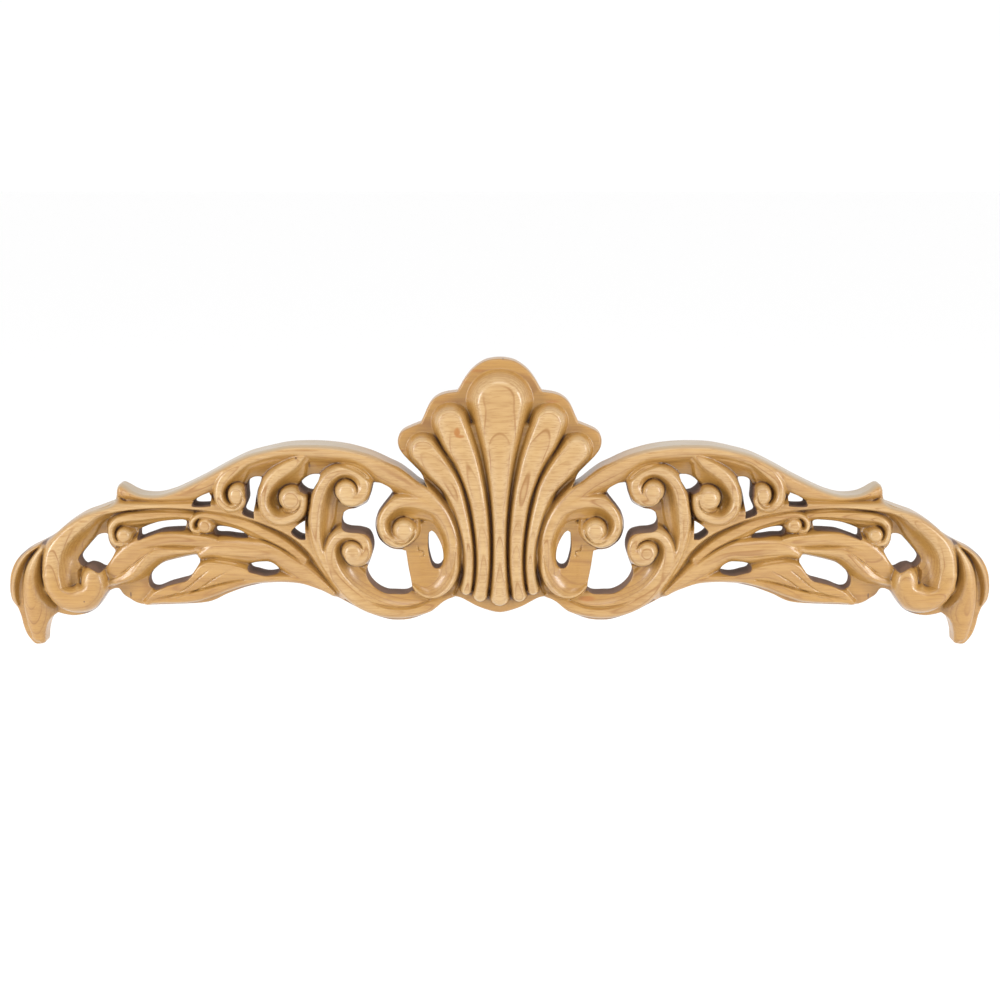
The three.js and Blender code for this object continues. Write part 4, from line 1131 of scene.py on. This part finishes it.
def maple_material():
    material = bpy.data.materials.new("maple")
    material.use_nodes = True
    tree = material.node_tree
    shader = tree.nodes["Principled BSDF"]
    spot = add_node(tree, "ShaderNodeTexCoord").outputs["Object"]
    facing = axes_of(tree, add_node(tree, "ShaderNodeNewGeometry").outputs["True Normal"])

    groove = value_on(tree, "groove")
    # painted highlight along ridges and edges that stand above their surroundings
    edge_highlight = ramp_of(tree, groove, *ON_EDGE, EDGE_HIGHLIGHT_MOST, 0.0)
    colour = mix_of(tree, edge_highlight, wood_colour(tree, spot), EDGE_HIGHLIGHT_PALE)
    # painted shade in the grooves
    colour = mix_of(tree, ramp_of(tree, groove, *IN_GROOVE), colour, SHADE_AND_MARK_BROWN)
    # painted sheen on the top edges of the wings where they face up
    colour = mix_of(tree, top_sheen(tree, spot, facing["Z"]), colour, TOP_SHEEN_PALE)
    upright = ramp_of(tree, math_of(tree, "ABSOLUTE", facing["Y"]), *FACING_FRONT, 1.0, 0.0)
    sawn = math_of(tree, "MULTIPLY", upright, ramp_of(tree, value_on(tree, "sawn"), *AT_SAWN_WALL))
    # bare sawn wood on the hole walls, darkened further by painted shade
    tree.links.new(mix_of(tree, sawn, colour, BARE_AND_SHADED_WOOD), shader.inputs["Base Color"])

    finish = ramp_of(tree, noise_of(tree, spot, FINISH_PATCHES), 0.3, 0.7, GLOSSIEST, DULLEST)
    tree.links.new(math_of(tree, "MULTIPLY_ADD", sawn, SAWN_DULLER, finish), shader.inputs["Roughness"])
    tree.links.new(ramp_of(tree, sawn, 0.0, 1.0, COAT, 0.0), shader.inputs["Coat Weight"])
    shader.inputs["Coat Roughness"].default_value = COAT_ROUGHNESS

    fibres = noise_of(tree, spot, FIBRE_WAVES)
    ripples = noise_of(tree, spot, RIPPLE_WAVES, 1.0)
    height = math_of(tree, "MULTIPLY_ADD", ripples, RIPPLE_HEIGHT, fibres)
    inputs = {"Height": height, "Strength": BUMP_STRENGTH, "Distance": BUMP_HEIGHT}
    tree.links.new(add_node(tree, "ShaderNodeBump", inputs).outputs["Normal"], shader.inputs["Normal"])
    return material


# Light, floor and camera
FLOOR_LEVEL = -0.45
FLOOR_HALF = 30
FLOOR_WHITE = 0.97
FLOOR_ROUGHNESS = 0.9
SKY_STRENGTH = 1.02
SENSOR = 36
IMAGE_WIDTH = 1000

# Each light is its place, width, height and power. All of them aim at the middle of the carving.
LIGHTS = [
    ((-1.5, -1.0, 0.35), 0.36, 1.0, 21),
    ((1.5, -1.0, 0.35), 0.36, 1.0, 21),
    ((0, -0.9, 1.6), 1.2, 0.5, 8),
]


def add_light(place_at, wide, high, power):
    data = bpy.data.lights.new("light", "AREA")
    data.shape = "RECTANGLE"
    data.size = wide
    data.size_y = high
    data.energy = power
    light = bpy.data.objects.new("light", data)
    light.location = place_at
    light.rotation_euler = (-Vector(place_at)).to_track_quat("-Z", "Y").to_euler()
    bpy.context.scene.collection.objects.link(light)


def add_studio():
    world = bpy.data.worlds.new("studio")
    world.use_nodes = True
    background = world.node_tree.nodes["Background"]
    background.inputs["Color"].default_value = (1, 1, 1, 1)
    background.inputs["Strength"].default_value = SKY_STRENGTH
    bpy.context.scene.world = world
    bpy.context.scene.view_settings.view_transform = "Standard"
    for light in LIGHTS:
        add_light(*light)


def add_floor():
    mesh = bpy.data.meshes.new("floor")
    sides = [(-1, -1), (1, -1), (1, 1), (-1, 1)]
    corners = [(x * FLOOR_HALF, y * FLOOR_HALF, FLOOR_LEVEL) for x, y in sides]
    mesh.from_pydata(corners, [], [(0, 1, 2, 3)])
    floor = bpy.data.objects.new("floor", mesh)
    bpy.context.scene.collection.objects.link(floor)
    material = bpy.data.materials.new("floor")
    material.use_nodes = True
    shader = material.node_tree.nodes["Principled BSDF"]
    shader.inputs["Base Color"].default_value = (FLOOR_WHITE, FLOOR_WHITE, FLOOR_WHITE, 1)
    shader.inputs["Roughness"].default_value = FLOOR_ROUGHNESS
    mesh.materials.append(material)


def add_camera():
    data = bpy.data.cameras.new("camera")
    data.sensor_width = SENSOR
    data.lens = SENSOR * EYE_DISTANCE / IMAGE_WIDTH
    data.shift_x = (IMAGE_WIDTH / 2 - AXIS_X) / IMAGE_WIDTH
    camera = bpy.data.objects.new("camera", data)
    distance = EYE_DISTANCE * SQUARE
    camera.location = (0, -distance * math.cos(LOOK_DOWN), distance * math.sin(LOOK_DOWN))
    camera.rotation_euler = (math.pi / 2 - LOOK_DOWN, 0, 0)
    bpy.context.scene.collection.objects.link(camera)
    bpy.context.scene.camera = camera


add_camera()
add_studio()
add_floor()
carving = make_carving()
carving.data.materials.append(maple_material())
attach(carving, "root")
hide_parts("carved_applique")
